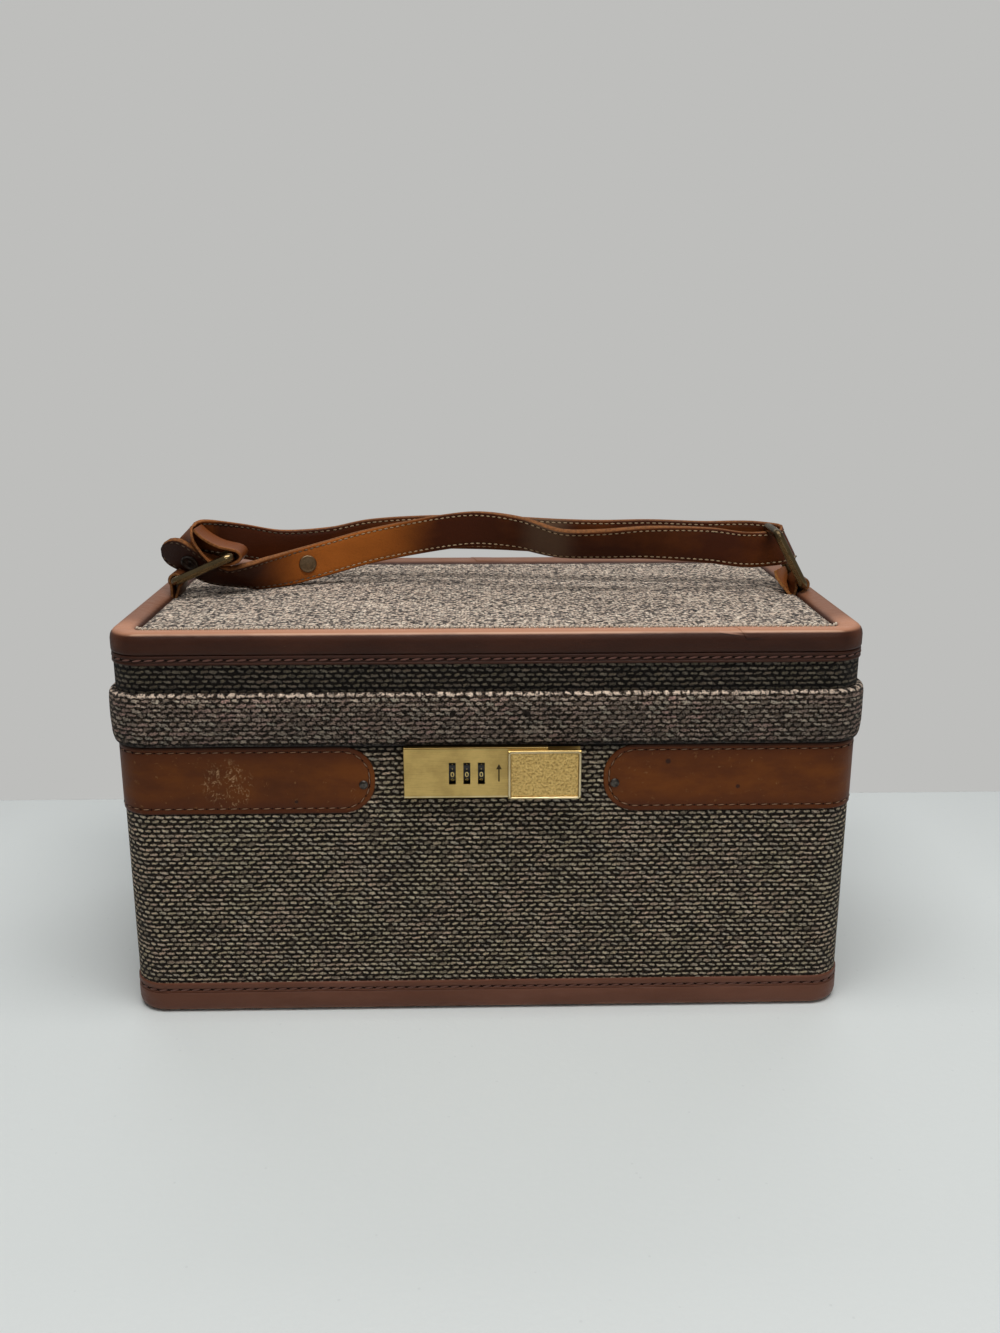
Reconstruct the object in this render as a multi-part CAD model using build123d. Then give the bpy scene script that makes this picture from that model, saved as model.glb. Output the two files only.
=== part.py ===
from build123d import *
import math
import os

# Cosmetic train case: a rigid box with a hinged lid, a combination lock on the front
# and a leather strap handle that runs between two rings on the lid.
# Millimetres. X to the right, Y to the back, Z up. The origin is the centre of the base.

# Overall size, over the lid's rim binding
CASE_W = 356.0
CASE_D = 195.0
CASE_H = 195.0
CORNER_R = 17.0

# Heights of the seams
BINDING_H = 16.0
BODY_H = 140.7
PARTING_GAP = 0.5
BAND_LOW = 140.1
BAND_HIGH = 166.2
RIM_H = 15.6
RIM_LOW = CASE_H - RIM_H
PANEL_SINK = 2.7
TOP_PANEL_Z = CASE_H - PANEL_SINK

# Wall build-up, from outside to inside
TWEED_STEP = 0.85
TWEED_T = 0.85
SHELL_T = 4.0
LINING_T = 0.8
BASE_COVER_T = 1.2
TOP_COVER_T = 0.9
PAD_PROUD = 1.55
LEATHER_T = 0.7
RIM_TOP_W = 13.0
BASE_RIM_W = 14.0
RIM_ROUND = 5.0
BASE_ROUND = 4.0
PAD_ROUND = 3.0
SOFT_GAP = 0.3

TWEED_IN = TWEED_STEP
SHELL_IN = TWEED_IN + TWEED_T
INNER_IN = SHELL_IN + SHELL_T
ROOM_IN = INNER_IN + LINING_T
FRONT_Y = -(CASE_D / 2 - TWEED_IN)
LID_LOW = BODY_H + PARTING_GAP
FLOOR_Z = BASE_COVER_T + SHELL_T
LID_TOP = TOP_PANEL_Z - TOP_COVER_T
CEILING_Z = LID_TOP - SHELL_T

# Register lip inside the mouth of the body
LIP_LOW = 126.0
LIP_RISE = 6.0
LIP_T = 1.2
LIP_GAP = 0.5

# Leather bands at the sides
SIDE_LOW = 106.0
SIDE_HIGH = 139.5
SIDE_END_X = 54.4
SIDE_BACK_X = 104.0
SIDE_END_R = 15.5
SIDE_RIVET_IN = 5.4
SIDE_RIVET_Z = 120.3
SIDE_RIVET_R = 2.5
RIVET_HEAD_T = 0.9
RIVET_SHANK_R = 1.1

# Hinge along the back
HINGE_L = 198.0
HINGE_KNUCKLES = 9
HINGE_PIN_R = 1.1
KNUCKLE_R = 2.2
LEAF_T = 1.2
LEAF_H = 15.0
HINGE_Z = BODY_H + 0.3
HINGE_Y = CASE_D / 2 + 2.1
KNUCKLE_GAP = 0.3
FIT_GAP = 0.05
LID_HOLE_GAP = 0.1
HINGE_RIVETS = 6
HINGE_RIVET_R = 1.7

# Combination lock, measured outwards from the tweed's front face
LOCK_X0 = -40.5
LOCK_X1 = 27.7
LOCK_END_X = 43.0
LOCK_Z0 = 114.7
LOCK_Z1 = 139.8
LOCK_PROUD = 4.5
LOCK_PLATE_T = 0.8
LOCK_SKIN = 0.7
LOCK_WASHER_R = 1.5
WINDOW_W = 3.3
WINDOW_H = 10.8
DIAL_X = -10.75
DIAL_PITCH = 6.85
DIAL_COUNT = 3
DIAL_Z = 127.0
DIAL_R = 6.2
DIAL_W = 4.6
DIAL_HUB_R = 2.8
DIAL_FRONT_GAP = 0.4
DIAL_DIGITS = 10
DIAL_GROOVE_R = 0.55
AXLE_R = 1.4
BOX_X0 = -36.5
BOX_X1 = 39.9
BOX_Z0 = 117.5
BOX_Z1 = 136.5
BOX_WALL = 0.9
BOX_BACK_GAP = 0.6
FRAME_T = 1.0

# Slider of the lock and its bolt
SLIDER_X0 = 8.7
SLIDER_X1 = 43.2
SLIDER_Z0 = 114.5
SLIDER_Z1 = 138.5
SLIDER_T = 1.6
SLIDER_GAP = 0.3
SLIDER_RIM = 1.1
SLIDER_SINK = 0.45
LATCH_TRAVEL = 7.0
BOLT_X0 = 26.5
BOLT_X1 = 38.7
BOLT_Z = 132.0
BOLT_H = 5.6
BOLT_T = 1.0
STEM_W = 3.6
STEM_H = 4.0

# Hasp on the lid
HASP_X0 = -23.0
HASP_X1 = 28.0
HASP_Z0 = 145.0
HASP_Z1 = 163.0
HASP_T = 1.0
TONGUE_X0 = 12.5
TONGUE_X1 = 25.5
TONGUE_LOW = 126.0
TONGUE_GAP = 0.7
NOTCH_X0 = 17.5
NOTCH_SLACK = 0.6
HASP_RIVET_X = 17.4
HASP_RIVET_Z = 155.8
HASP_RIVET_R = 2.0

# Strap handle, its rings and its tabs
WIRE_R = 2.3
RING_HALF_W = 12.0
RING_L = 32.0
RING_BEND = 2.6
SEAM_X = CASE_W / 2 - RIM_TOP_W
LEFT_PIVOT_IN = 1.6
LEFT_PIVOT_RISE = 6.8
LEFT_PIVOT = (LEFT_PIVOT_IN - SEAM_X, CASE_H + LEFT_PIVOT_RISE)
LEFT_RING_TILT = 23.5
RIGHT_PIVOT_OUT = 3.2
RIGHT_PIVOT_RISE = 3.0
RIGHT_PIVOT = (SEAM_X + RIGHT_PIVOT_OUT, CASE_H + RIGHT_PIVOT_RISE)
RIGHT_RING_TILT = 61.0
TAB_W = 18.8
TAB_T = 1.7
TAB_FOOT = 8.0
STRAP_W = 19.0
STRAP_T = 3.4
SNAP_R = 4.6
SNAP_T = 1.2
SNAP_ALONG = 5.6

# Inside
MIRROR_W = 230.0
MIRROR_D = 120.0
MIRROR_T = 3.0
MIRROR_R = 12.0
FRAME_W = 8.0
FRAME_LIP = 1.2
POCKET_W = 240.0
POCKET_Z0 = 24.0
POCKET_Z1 = 92.0
POCKET_DEPTH = 9.0
POCKET_SKIN = 1.4
POCKET_HEM = 5.0
TAPE_W = 14.0
TAPE_T = 1.0
TAPE_Y = 30.0
TAPE_REACH = 16.0
TAPE_INSET = 2.6


# Helpers


def plan(inset):
    """Rounded outline of the case, drawn in from the rim by an inset."""
    return RectangleRounded(CASE_W - 2 * inset, CASE_D - 2 * inset, CORNER_R - inset)


def prism(inset, z0, z1):
    return Pos(0, 0, z0) * extrude(plan(inset), amount=z1 - z0)


def wall(outer, inner, z0, z1):
    return prism(outer, z0, z1) - prism(inner, z0 - 1, z1 + 1)


def span(x0, x1, y0, y1, z0, z1):
    """Box between two corners."""
    centre = Pos((x0 + x1) / 2, (y0 + y1) / 2, (z0 + z1) / 2)
    return centre * Box(abs(x1 - x0), abs(y1 - y0), abs(z1 - z0))


def front(x0, x1, p0, p1, z0, z1):
    """Box on the front wall, between two distances out from the tweed."""
    return span(x0, x1, FRONT_Y - p1, FRONT_Y - p0, z0, z1)


def rod_x(x0, x1, y, z, radius):
    return Pos((x0 + x1) / 2, y, z) * Rot(0, 90, 0) * Cylinder(radius, abs(x1 - x0))


def rod_y(x, y0, y1, z, radius):
    return Pos(x, (y0 + y1) / 2, z) * Rot(90, 0, 0) * Cylinder(radius, abs(y1 - y0))


def front_rod(x, p0, p1, z, radius):
    return rod_y(x, FRONT_Y - p1, FRONT_Y - p0, z, radius)


def rivet_y(x, z, face_y, out, depth, head_r, shank_r):
    """Rivet through a wall along Y. out is -1 for the front wall and 1 for the back wall."""
    head = rod_y(x, face_y, face_y + out * RIVET_HEAD_T, z, head_r)
    rim = head.edges().filter_by(GeomType.CIRCLE).sort_by(Axis.Y)
    outer_rim = rim[-1] if out > 0 else rim[0]
    head = fillet(outer_rim, RIVET_HEAD_T * 0.7)
    return head + rod_y(x, face_y - out * depth, face_y, z, shank_r)


def union(parts):
    result = parts[0]
    for part in parts[1:]:
        result = result + part
    return result


def low_edges(shape, z):
    return shape.edges().filter_by(lambda e: abs(e.center().Z - z) < 1e-3)


def save(name, shape):
    shape.label = name
    export_step(shape, f"parts/{name}.step")


# Fasteners that cut holes in what they hold


def side_rivet_places():
    ends = {-1: SIDE_END_X, 1: SIDE_BACK_X}
    return [(sx * (ends[out] + SIDE_RIVET_IN), out) for sx in (-1, 1) for out in (-1, 1)]


def side_rivet_holes():
    places = side_rivet_places()
    reach = SHELL_IN + SHELL_T + 1
    return union([rod_y(x, out * CASE_D / 2, out * (CASE_D / 2 - reach), SIDE_RIVET_Z, RIVET_SHANK_R)
                  for x, out in places])


def side_rivets():
    face = CASE_D / 2 - TWEED_IN + LEATHER_T
    depth = face - (CASE_D / 2 - INNER_IN)
    return union([rivet_y(x, SIDE_RIVET_Z, out * face, out, depth, SIDE_RIVET_R, RIVET_SHANK_R)
                  for x, out in side_rivet_places()])


def lock_rivet_places():
    return [(BOX_X0 + LOCK_X0) / 2, (BOX_X1 + LOCK_END_X) / 2]


def lock_rivets():
    inner = ROOM_IN - TWEED_IN
    bodies = []
    for x in lock_rivet_places():
        shank = front_rod(x, -inner, LOCK_PLATE_T, DIAL_Z, FRAME_T)
        washer = front_rod(x, -inner - FRAME_T, -inner, DIAL_Z, LOCK_WASHER_R)
        bodies.append(shank + washer)
    return union(bodies)


def hinge_rivet_places():
    pitch = HINGE_L / HINGE_RIVETS
    return [-HINGE_L / 2 + pitch * (i + 0.5) for i in range(HINGE_RIVETS)]


# Lock


def lock_opening():
    """What the lock takes out of the front wall, with the way in for the hasp's tongue."""
    reach = ROOM_IN - TWEED_IN + 1
    pocket = front(BOX_X0, BOX_X1, -reach, 1, BOX_Z0, BOX_Z1)
    rivet_holes = [front_rod(x, -reach, 1, DIAL_Z, FRAME_T) for x in lock_rivet_places()]
    return union([pocket, tongue_space(1)] + rivet_holes)


def tongue_space(proud):
    back = -(TWEED_T + 2 * SOFT_GAP)
    return front(TONGUE_X0 - TONGUE_GAP, TONGUE_X1 + TONGUE_GAP, back, proud, TONGUE_LOW - TONGUE_GAP, LID_LOW + 1)


def stem_slot():
    x1 = BOLT_X1 + SLIDER_GAP
    x0 = BOLT_X1 - STEM_W - LATCH_TRAVEL - SLIDER_GAP
    half = STEM_H / 2 + SLIDER_GAP
    return front(x0, x1, -1, LOCK_PLATE_T + 1, BOLT_Z - half, BOLT_Z + half)


def dial_axis_proud():
    return LOCK_PROUD - LOCK_SKIN - DIAL_FRONT_GAP - DIAL_R


def dial_axis_y():
    return FRONT_Y - dial_axis_proud()


def dial_places():
    first = DIAL_X - DIAL_PITCH * (DIAL_COUNT - 1) / 2
    return [first + i * DIAL_PITCH for i in range(DIAL_COUNT)]


def dial_half_row():
    return DIAL_PITCH * DIAL_COUNT / 2 + FRAME_T / 2


def lock_base_plate():
    plate = front(LOCK_X0, LOCK_END_X, 0, LOCK_PLATE_T, LOCK_Z0 + 1, LOCK_Z1 - 1)
    half = dial_half_row() + FRAME_T
    wheel_cut = front(DIAL_X - half, DIAL_X + half, -1, LOCK_PLATE_T + 1, BOX_Z0 + BOX_WALL, BOX_Z1 - BOX_WALL)
    rivet_holes = union([front_rod(x, -1, LOCK_PLATE_T + 1, DIAL_Z, FRAME_T) for x in lock_rivet_places()])
    return plate - wheel_cut - tongue_space(LOCK_PLATE_T + 1) - stem_slot() - rivet_holes


def lock_housing():
    cover = front(LOCK_X0, LOCK_X1, LOCK_PLATE_T, LOCK_PROUD, LOCK_Z0, LOCK_Z1)
    cover = fillet(cover.edges().group_by(Axis.Y)[0], LOCK_SKIN * 0.6)
    room = front(LOCK_X0 + LOCK_SKIN, LOCK_X1 - LOCK_SKIN, 0, LOCK_PROUD - LOCK_SKIN,
                 LOCK_Z0 + LOCK_SKIN, LOCK_Z1 - LOCK_SKIN)
    cover = cover - room
    for x in dial_places():
        cover = cover - front(x - WINDOW_W / 2, x + WINDOW_W / 2, 0, LOCK_PROUD + 1,
                              DIAL_Z - WINDOW_H / 2, DIAL_Z + WINDOW_H / 2)
    return cover


def lock_back_box():
    back = -(DIAL_R - dial_axis_proud() + BOX_BACK_GAP)
    outer = front(BOX_X0, BOX_X1, back - BOX_WALL, 0, BOX_Z0, BOX_Z1)
    inner = front(BOX_X0 + BOX_WALL, BOX_X1 - BOX_WALL, back, 1, BOX_Z0 + BOX_WALL, BOX_Z1 - BOX_WALL)
    return outer - inner - tongue_space(1)


def dial_frame():
    """U-shaped bracket that carries the axle of the dials."""
    half = dial_half_row()
    back = -(DIAL_R - dial_axis_proud() + BOX_BACK_GAP)
    low = BOX_Z0 + BOX_WALL
    high = DIAL_Z + DIAL_HUB_R + FRAME_T
    web = front(DIAL_X - half, DIAL_X + half, back, -FRAME_T, low, low + FRAME_T)
    left = front(DIAL_X - half - FRAME_T, DIAL_X - half, back, -FRAME_T, low, high)
    right = front(DIAL_X + half, DIAL_X + half + FRAME_T, back, -FRAME_T, low, high)
    hole = rod_x(DIAL_X - half - 2 * FRAME_T, DIAL_X + half + 2 * FRAME_T, dial_axis_y(), DIAL_Z, AXLE_R)
    return union([web, left, right]) - hole


def dial_axle():
    half = dial_half_row() + FRAME_T
    return rod_x(DIAL_X - half, DIAL_X + half, dial_axis_y(), DIAL_Z, AXLE_R)


def dial(x):
    """Number wheel with a groove between each two numbers."""
    wheel = rod_x(x - DIAL_W / 2, x + DIAL_W / 2, dial_axis_y(), DIAL_Z, DIAL_R)
    hub = rod_x(x - DIAL_PITCH / 2 + FIT_GAP * 2, x + DIAL_PITCH / 2 - FIT_GAP * 2, dial_axis_y(), DIAL_Z, DIAL_HUB_R)
    wheel = wheel + hub
    for i in range(DIAL_DIGITS):
        angle = 2 * math.pi * (i + 0.5) / DIAL_DIGITS
        y = dial_axis_y() + DIAL_R * math.cos(angle)
        z = DIAL_Z + DIAL_R * math.sin(angle)
        wheel = wheel - rod_x(x - DIAL_W, x + DIAL_W, y, z, DIAL_GROOVE_R)
    return wheel - rod_x(x - DIAL_PITCH, x + DIAL_PITCH, dial_axis_y(), DIAL_Z, AXLE_R + FIT_GAP)


def dial_spring():
    """Leaf that clicks in the grooves, drawn where it rests over the wheels."""
    half = dial_half_row() - FRAME_T
    leaf_z = DIAL_Z + DIAL_R + SOFT_GAP
    p0 = dial_axis_proud() - DIAL_R / 2
    p1 = dial_axis_proud() + DIAL_R / 2
    leaf = front(DIAL_X - half, DIAL_X + half, p0, p1, leaf_z, leaf_z + BOX_WALL / 2)
    post = front(DIAL_X - half, DIAL_X + half, p0, p0 + BOX_WALL, leaf_z, BOX_Z1 - BOX_WALL)
    return leaf + post


def slider_proud():
    return LOCK_PROUD + SLIDER_GAP


def latch_slider():
    """Thumb slide: a plate with a bevelled frame round a sunk field."""
    p0 = slider_proud()
    p1 = p0 + SLIDER_T
    plate = front(SLIDER_X0, SLIDER_X1, p0, p1, SLIDER_Z0, SLIDER_Z1)
    plate = chamfer(plate.edges().group_by(Axis.Y)[0], SLIDER_T * 0.35)
    field = front(SLIDER_X0 + SLIDER_RIM, SLIDER_X1 - SLIDER_RIM, p1 - SLIDER_SINK, p1 + 1,
                  SLIDER_Z0 + SLIDER_RIM, SLIDER_Z1 - SLIDER_RIM)
    return plate - field


def latch_bolt():
    """Bolt behind the base plate, with the stem that the slider is riveted to."""
    p1 = -SOFT_GAP
    bolt = front(BOLT_X0, BOLT_X1, p1 - BOLT_T, p1, BOLT_Z - BOLT_H / 2, BOLT_Z + BOLT_H / 2)
    stem = front(BOLT_X1 - STEM_W, BOLT_X1, p1, slider_proud(), BOLT_Z - STEM_H / 2, BOLT_Z + STEM_H / 2)
    return bolt + stem


def hasp():
    """Plate under the padded band with a notched tongue that drops into the lock."""
    p0 = -TWEED_T
    plate = front(HASP_X0, HASP_X1, p0, p0 + HASP_T, HASP_Z0, HASP_Z1)
    tongue = front(TONGUE_X0, TONGUE_X1, p0, p0 + HASP_T, TONGUE_LOW, HASP_Z0)
    half = BOLT_H / 2 + NOTCH_SLACK
    notch = front(NOTCH_X0, TONGUE_X1 + 1, p0 - 1, 2, BOLT_Z - half, BOLT_Z + half)
    return plate + tongue - notch - hasp_rivet_holes()


def hasp_rivet_holes():
    reach = INNER_IN - TWEED_IN + 1
    return union([front_rod(sx * HASP_RIVET_X, -reach, reach, HASP_RIVET_Z, RIVET_SHANK_R) for sx in (-1, 1)])


def hasp_rivets():
    face = -(CASE_D / 2 + PAD_PROUD)
    depth = INNER_IN + PAD_PROUD
    return union([rivet_y(sx * HASP_RIVET_X, HASP_RIVET_Z, face, -1, depth, HASP_RIVET_R, RIVET_SHANK_R)
                  for sx in (-1, 1)])


# Body


def body_shell():
    tub = prism(SHELL_IN, BASE_COVER_T, BODY_H)
    tub = fillet(low_edges(tub, BASE_COVER_T), BASE_ROUND * 0.6)
    tub = tub - prism(INNER_IN, FLOOR_Z, BODY_H + 1)
    return tub - body_wall_holes()


def body_wall_holes():
    return lock_opening() + side_rivet_holes() + hinge_rivet_holes(BODY_H - LEAF_H / 2) + hinge_clearance()


def body_tweed_cover():
    return wall(TWEED_IN, SHELL_IN, BINDING_H, BODY_H) - body_wall_holes()


def bottom_binding():
    strip = prism(0, 0, BINDING_H)
    strip = fillet(low_edges(strip, 0), BASE_ROUND)
    inner = prism(SHELL_IN, BASE_COVER_T, BINDING_H + 1)
    inner = fillet(low_edges(inner, BASE_COVER_T), BASE_ROUND * 0.6)
    return strip - inner - prism(BASE_RIM_W, -1, BINDING_H)


def bottom_panel_cover():
    return prism(BASE_RIM_W, 0, BASE_COVER_T)


def side_band(side):
    """Leather band from the front, round one end, to the back, with rounded ends."""
    skin = wall(TWEED_IN - LEATHER_T, TWEED_IN, SIDE_LOW, SIDE_HIGH)
    shape = side_band_reach(side, SIDE_END_X, -1) + side_band_reach(side, SIDE_BACK_X, 1)
    return (skin & shape) - side_rivet_holes()


def side_band_reach(side, end_x, out):
    """Round-ended block that trims the band on the front half or the back half of the case."""
    length = CASE_W - end_x
    height = SIDE_HIGH - SIDE_LOW
    outline = Pos(side * (end_x + length / 2), (SIDE_LOW + SIDE_HIGH) / 2) * RectangleRounded(length, height, SIDE_END_R)
    return extrude(Plane.XZ * outline, amount=-out * CASE_D)


def body_lining():
    tub = prism(INNER_IN, FLOOR_Z, BODY_H) - prism(ROOM_IN, FLOOR_Z + LINING_T, BODY_H + 1)
    return tub - lock_opening()


def body_lip():
    """Strip round the mouth that rises into the lid and lines it up."""
    root = wall(ROOM_IN, ROOM_IN + LIP_GAP + LIP_T, LIP_LOW, BODY_H)
    rise = wall(ROOM_IN + LIP_GAP, ROOM_IN + LIP_GAP + LIP_T, LIP_LOW, BODY_H + LIP_RISE)
    lock_cut = front(LOCK_X0, LOCK_END_X + FRAME_T, -2 * ROOM_IN, 0, 0, BOX_Z1 + 1)
    return root + rise - lock_cut


def back_pocket():
    """Pocket on the back wall, open at the top, with a thicker elastic hem."""
    back = CASE_D / 2 - ROOM_IN
    y0 = back - POCKET_DEPTH
    half = POCKET_W / 2
    outer = span(-half, half, y0, back, POCKET_Z0, POCKET_Z1)
    room = span(-half + POCKET_SKIN, half - POCKET_SKIN, y0 + POCKET_SKIN, back + 1,
                POCKET_Z0 + POCKET_SKIN, POCKET_Z1 + 1)
    hem = span(-half, half, y0 - POCKET_SKIN / 2, y0 + POCKET_SKIN, POCKET_Z1 - POCKET_HEM, POCKET_Z1)
    return outer - room + hem


# Hinge


def hinge_clearance():
    return rod_x(-HINGE_L / 2 - 1, HINGE_L / 2 + 1, HINGE_Y, HINGE_Z, KNUCKLE_R + SOFT_GAP)


def knuckles(first, hole_r):
    """Every other knuckle of the hinge, with the web that joins each to its leaf."""
    pitch = HINGE_L / HINGE_KNUCKLES
    solids = []
    for i in range(first, HINGE_KNUCKLES, 2):
        x0 = -HINGE_L / 2 + i * pitch + KNUCKLE_GAP / 2
        x1 = x0 + pitch - KNUCKLE_GAP
        solids.append((x0, x1))
    tube = union([rod_x(x0, x1, HINGE_Y, HINGE_Z, KNUCKLE_R) for x0, x1 in solids])
    hole = rod_x(-HINGE_L / 2 - 1, HINGE_L / 2 + 1, HINGE_Y, HINGE_Z, hole_r)
    return solids, tube, hole


def body_leaf_y():
    return CASE_D / 2 - TWEED_IN


def lid_leaf_y():
    return CASE_D / 2 - SHELL_IN


def hinge_leaf_body():
    spans, tube, hole = knuckles(0, HINGE_PIN_R)
    y0 = body_leaf_y()
    leaf = span(-HINGE_L / 2, HINGE_L / 2, y0, y0 + LEAF_T, BODY_H - LEAF_H, HINGE_Z - KNUCKLE_R - SOFT_GAP)
    webs = union([span(x0, x1, y0, y0 + LEAF_T, BODY_H - LEAF_H, HINGE_Z) for x0, x1 in spans])
    webs = webs - wall(TWEED_IN, INNER_IN, 0, CASE_H)
    return union([leaf, webs, tube]) - hole - hinge_rivet_holes(BODY_H - LEAF_H / 2)


def hinge_leaf_lid():
    spans, tube, hole = knuckles(1, HINGE_PIN_R + LID_HOLE_GAP)
    y0 = lid_leaf_y()
    z0 = HINGE_Z + KNUCKLE_R + SOFT_GAP
    leaf = span(-HINGE_L / 2, HINGE_L / 2, y0, y0 + LEAF_T, z0, LID_LOW + LEAF_H)
    webs = union([span(x0, x1, y0, y0 + LEAF_T, LID_LOW, z0) for x0, x1 in spans])
    feet = union([span(x0, x1, y0, HINGE_Y - HINGE_PIN_R, LID_LOW, LID_LOW + LEAF_T) for x0, x1 in spans])
    return union([leaf, webs, feet, tube]) - hole - hinge_rivet_holes(LID_LOW + LEAF_H / 2 + KNUCKLE_R)


def hinge_pin():
    return rod_x(-HINGE_L / 2, HINGE_L / 2, HINGE_Y, HINGE_Z, HINGE_PIN_R)


def hinge_rivet_holes(z):
    back = CASE_D / 2
    return union([rod_y(x, back - INNER_IN - 1, back + LEAF_T + 1, z, RIVET_SHANK_R) for x in hinge_rivet_places()])


def hinge_rivets_body():
    face = body_leaf_y() + LEAF_T
    depth = face - (CASE_D / 2 - INNER_IN)
    z = BODY_H - LEAF_H / 2
    return union([rivet_y(x, z, face, 1, depth, HINGE_RIVET_R, RIVET_SHANK_R) for x in hinge_rivet_places()])


def hinge_rivets_lid():
    face = lid_leaf_y() + LEAF_T
    z = LID_LOW + LEAF_H / 2 + KNUCKLE_R
    depth = face - (CASE_D / 2 - INNER_IN)
    return union([rivet_y(x, z, face, 1, depth, HINGE_RIVET_R, RIVET_SHANK_R) for x in hinge_rivet_places()])


# Lid


def lid_shell():
    tray = prism(SHELL_IN, LID_LOW, LID_TOP)
    tray = fillet(low_edges(tray, LID_TOP), BASE_ROUND * 0.6)
    tray = tray - prism(INNER_IN, LID_LOW - 1, CEILING_Z)
    lid_hinge_holes = hinge_rivet_holes(LID_LOW + LEAF_H / 2 + KNUCKLE_R)
    return tray - hasp_rivet_holes() - lid_hinge_holes - hinge_clearance()


def lid_tweed_side():
    return wall(TWEED_IN, SHELL_IN, BAND_HIGH, RIM_LOW)


def lid_tweed_top():
    return prism(RIM_TOP_W, LID_TOP, TOP_PANEL_Z)


def lid_binding():
    strip = prism(0, RIM_LOW, CASE_H)
    strip = fillet(low_edges(strip, CASE_H), RIM_ROUND)
    inner = prism(SHELL_IN, RIM_LOW - 1, LID_TOP)
    inner = fillet(low_edges(inner, LID_TOP), BASE_ROUND * 0.6)
    window = prism(RIM_TOP_W, LID_TOP - 1, CASE_H + 1)
    strip = strip - inner - window
    inner_edges = strip.edges().filter_by(lambda e: abs(e.center().Z - CASE_H) < 1e-3)
    inner_edges = inner_edges.filter_by(lambda e: on_window(e.center()))
    strip = fillet(inner_edges, (CASE_H - TOP_PANEL_Z) * 0.9)
    for pivot, side in tab_places():
        strip = strip - tab_clearance(pivot, side)
    return strip


def on_window(point):
    """Whether a point of the rim lies on the edge of the top panel."""
    near_x = abs(abs(point.X) - (CASE_W / 2 - RIM_TOP_W)) < CORNER_R / 2
    near_y = abs(abs(point.Y) - (CASE_D / 2 - RIM_TOP_W)) < CORNER_R / 2
    return near_x or near_y


def padded_band():
    """Soft roll round the lid's lower edge. It hangs just over the parting line."""
    roll = prism(-PAD_PROUD, BAND_LOW, BAND_HIGH)
    roll = fillet(low_edges(roll, BAND_LOW) + low_edges(roll, BAND_HIGH), PAD_ROUND)
    roll = roll - prism(SHELL_IN, LID_LOW, BAND_HIGH + 1)
    roll = roll - prism(TWEED_IN - SOFT_GAP, BAND_LOW - 1, LID_LOW)
    hasp_bed = front(HASP_X0, HASP_X1, -TWEED_T, HASP_T - TWEED_T, BAND_LOW - 1, HASP_Z1)
    back = CASE_D / 2
    leaf_bed = span(-HINGE_L / 2, HINGE_L / 2, back - SHELL_IN, back - SHELL_IN + LEAF_T, 0, LID_LOW + LEAF_H)
    lip_cut = span(-HINGE_L / 2 - 1, HINGE_L / 2 + 1, back - INNER_IN, back + 2 * PAD_PROUD, 0, LID_LOW + LEAF_T)
    rivet_bed_z = LID_LOW + LEAF_H / 2 + KNUCKLE_R
    rivet_beds = union([rod_y(x, back - SHELL_IN, back - SHELL_IN + LEAF_T + RIVET_HEAD_T, rivet_bed_z, HINGE_RIVET_R)
                        for x in hinge_rivet_places()])
    return roll - hasp_bed - leaf_bed - lip_cut - rivet_beds - hinge_clearance() - hasp_rivet_holes()


def lid_lining():
    return prism(INNER_IN, LID_LOW, CEILING_Z) - prism(ROOM_IN, LID_LOW - 1, CEILING_Z - LINING_T)


def lid_mirror():
    z1 = CEILING_Z - LINING_T
    return Pos(0, 0, z1 - MIRROR_T) * extrude(RectangleRounded(MIRROR_W, MIRROR_D, MIRROR_R), amount=MIRROR_T)


def mirror_frame():
    """Frame round the mirror with a lip that holds the glass from below."""
    z1 = CEILING_Z - LINING_T
    z0 = z1 - MIRROR_T - FRAME_LIP
    outer_r = MIRROR_R + FRAME_W / 2
    outer = Pos(0, 0, z0) * extrude(RectangleRounded(MIRROR_W + FRAME_W, MIRROR_D + FRAME_W, outer_r), amount=z1 - z0)
    inner_r = MIRROR_R - FRAME_W / 2
    sight = Pos(0, 0, z0 - 1) * extrude(RectangleRounded(MIRROR_W - FRAME_W, MIRROR_D - FRAME_W, inner_r), amount=z1)
    return outer - lid_mirror() - sight


def stay_tape(side):
    """Slack tape between the body's mouth and the lid, folded short while the lid is shut."""
    x = side * (CASE_W / 2 - ROOM_IN - LIP_GAP - LIP_T - TAPE_INSET)
    mid = BODY_H + PARTING_GAP / 2
    return span(x - TAPE_T / 2, x + TAPE_T / 2, TAPE_Y - TAPE_W / 2, TAPE_Y + TAPE_W / 2,
                mid - TAPE_REACH, mid + TAPE_REACH)


def stay_clip(side, low):
    """Plate that pins one end of a stay tape to the wall."""
    mid = BODY_H + PARTING_GAP / 2
    tape_x = CASE_W / 2 - ROOM_IN - LIP_GAP - LIP_T - TAPE_INSET
    if low:
        outer_x = CASE_W / 2 - ROOM_IN - LIP_GAP - LIP_T
        z0 = mid - TAPE_REACH - TAPE_T
        z1 = mid - TAPE_REACH + TAPE_W / 2
    else:
        outer_x = CASE_W / 2 - ROOM_IN
        z0 = mid + TAPE_REACH - TAPE_W / 2
        z1 = mid + TAPE_REACH + TAPE_T
    block = span(side * (tape_x - TAPE_T / 2 - TAPE_T), side * outer_x, TAPE_Y - TAPE_W / 2 - TAPE_T,
                 TAPE_Y + TAPE_W / 2 + TAPE_T, z0, z1)
    return block - stay_tape(side)


# Handle


def tab_places():
    return [(LEFT_PIVOT, -1), (RIGHT_PIVOT, 1)]


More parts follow.
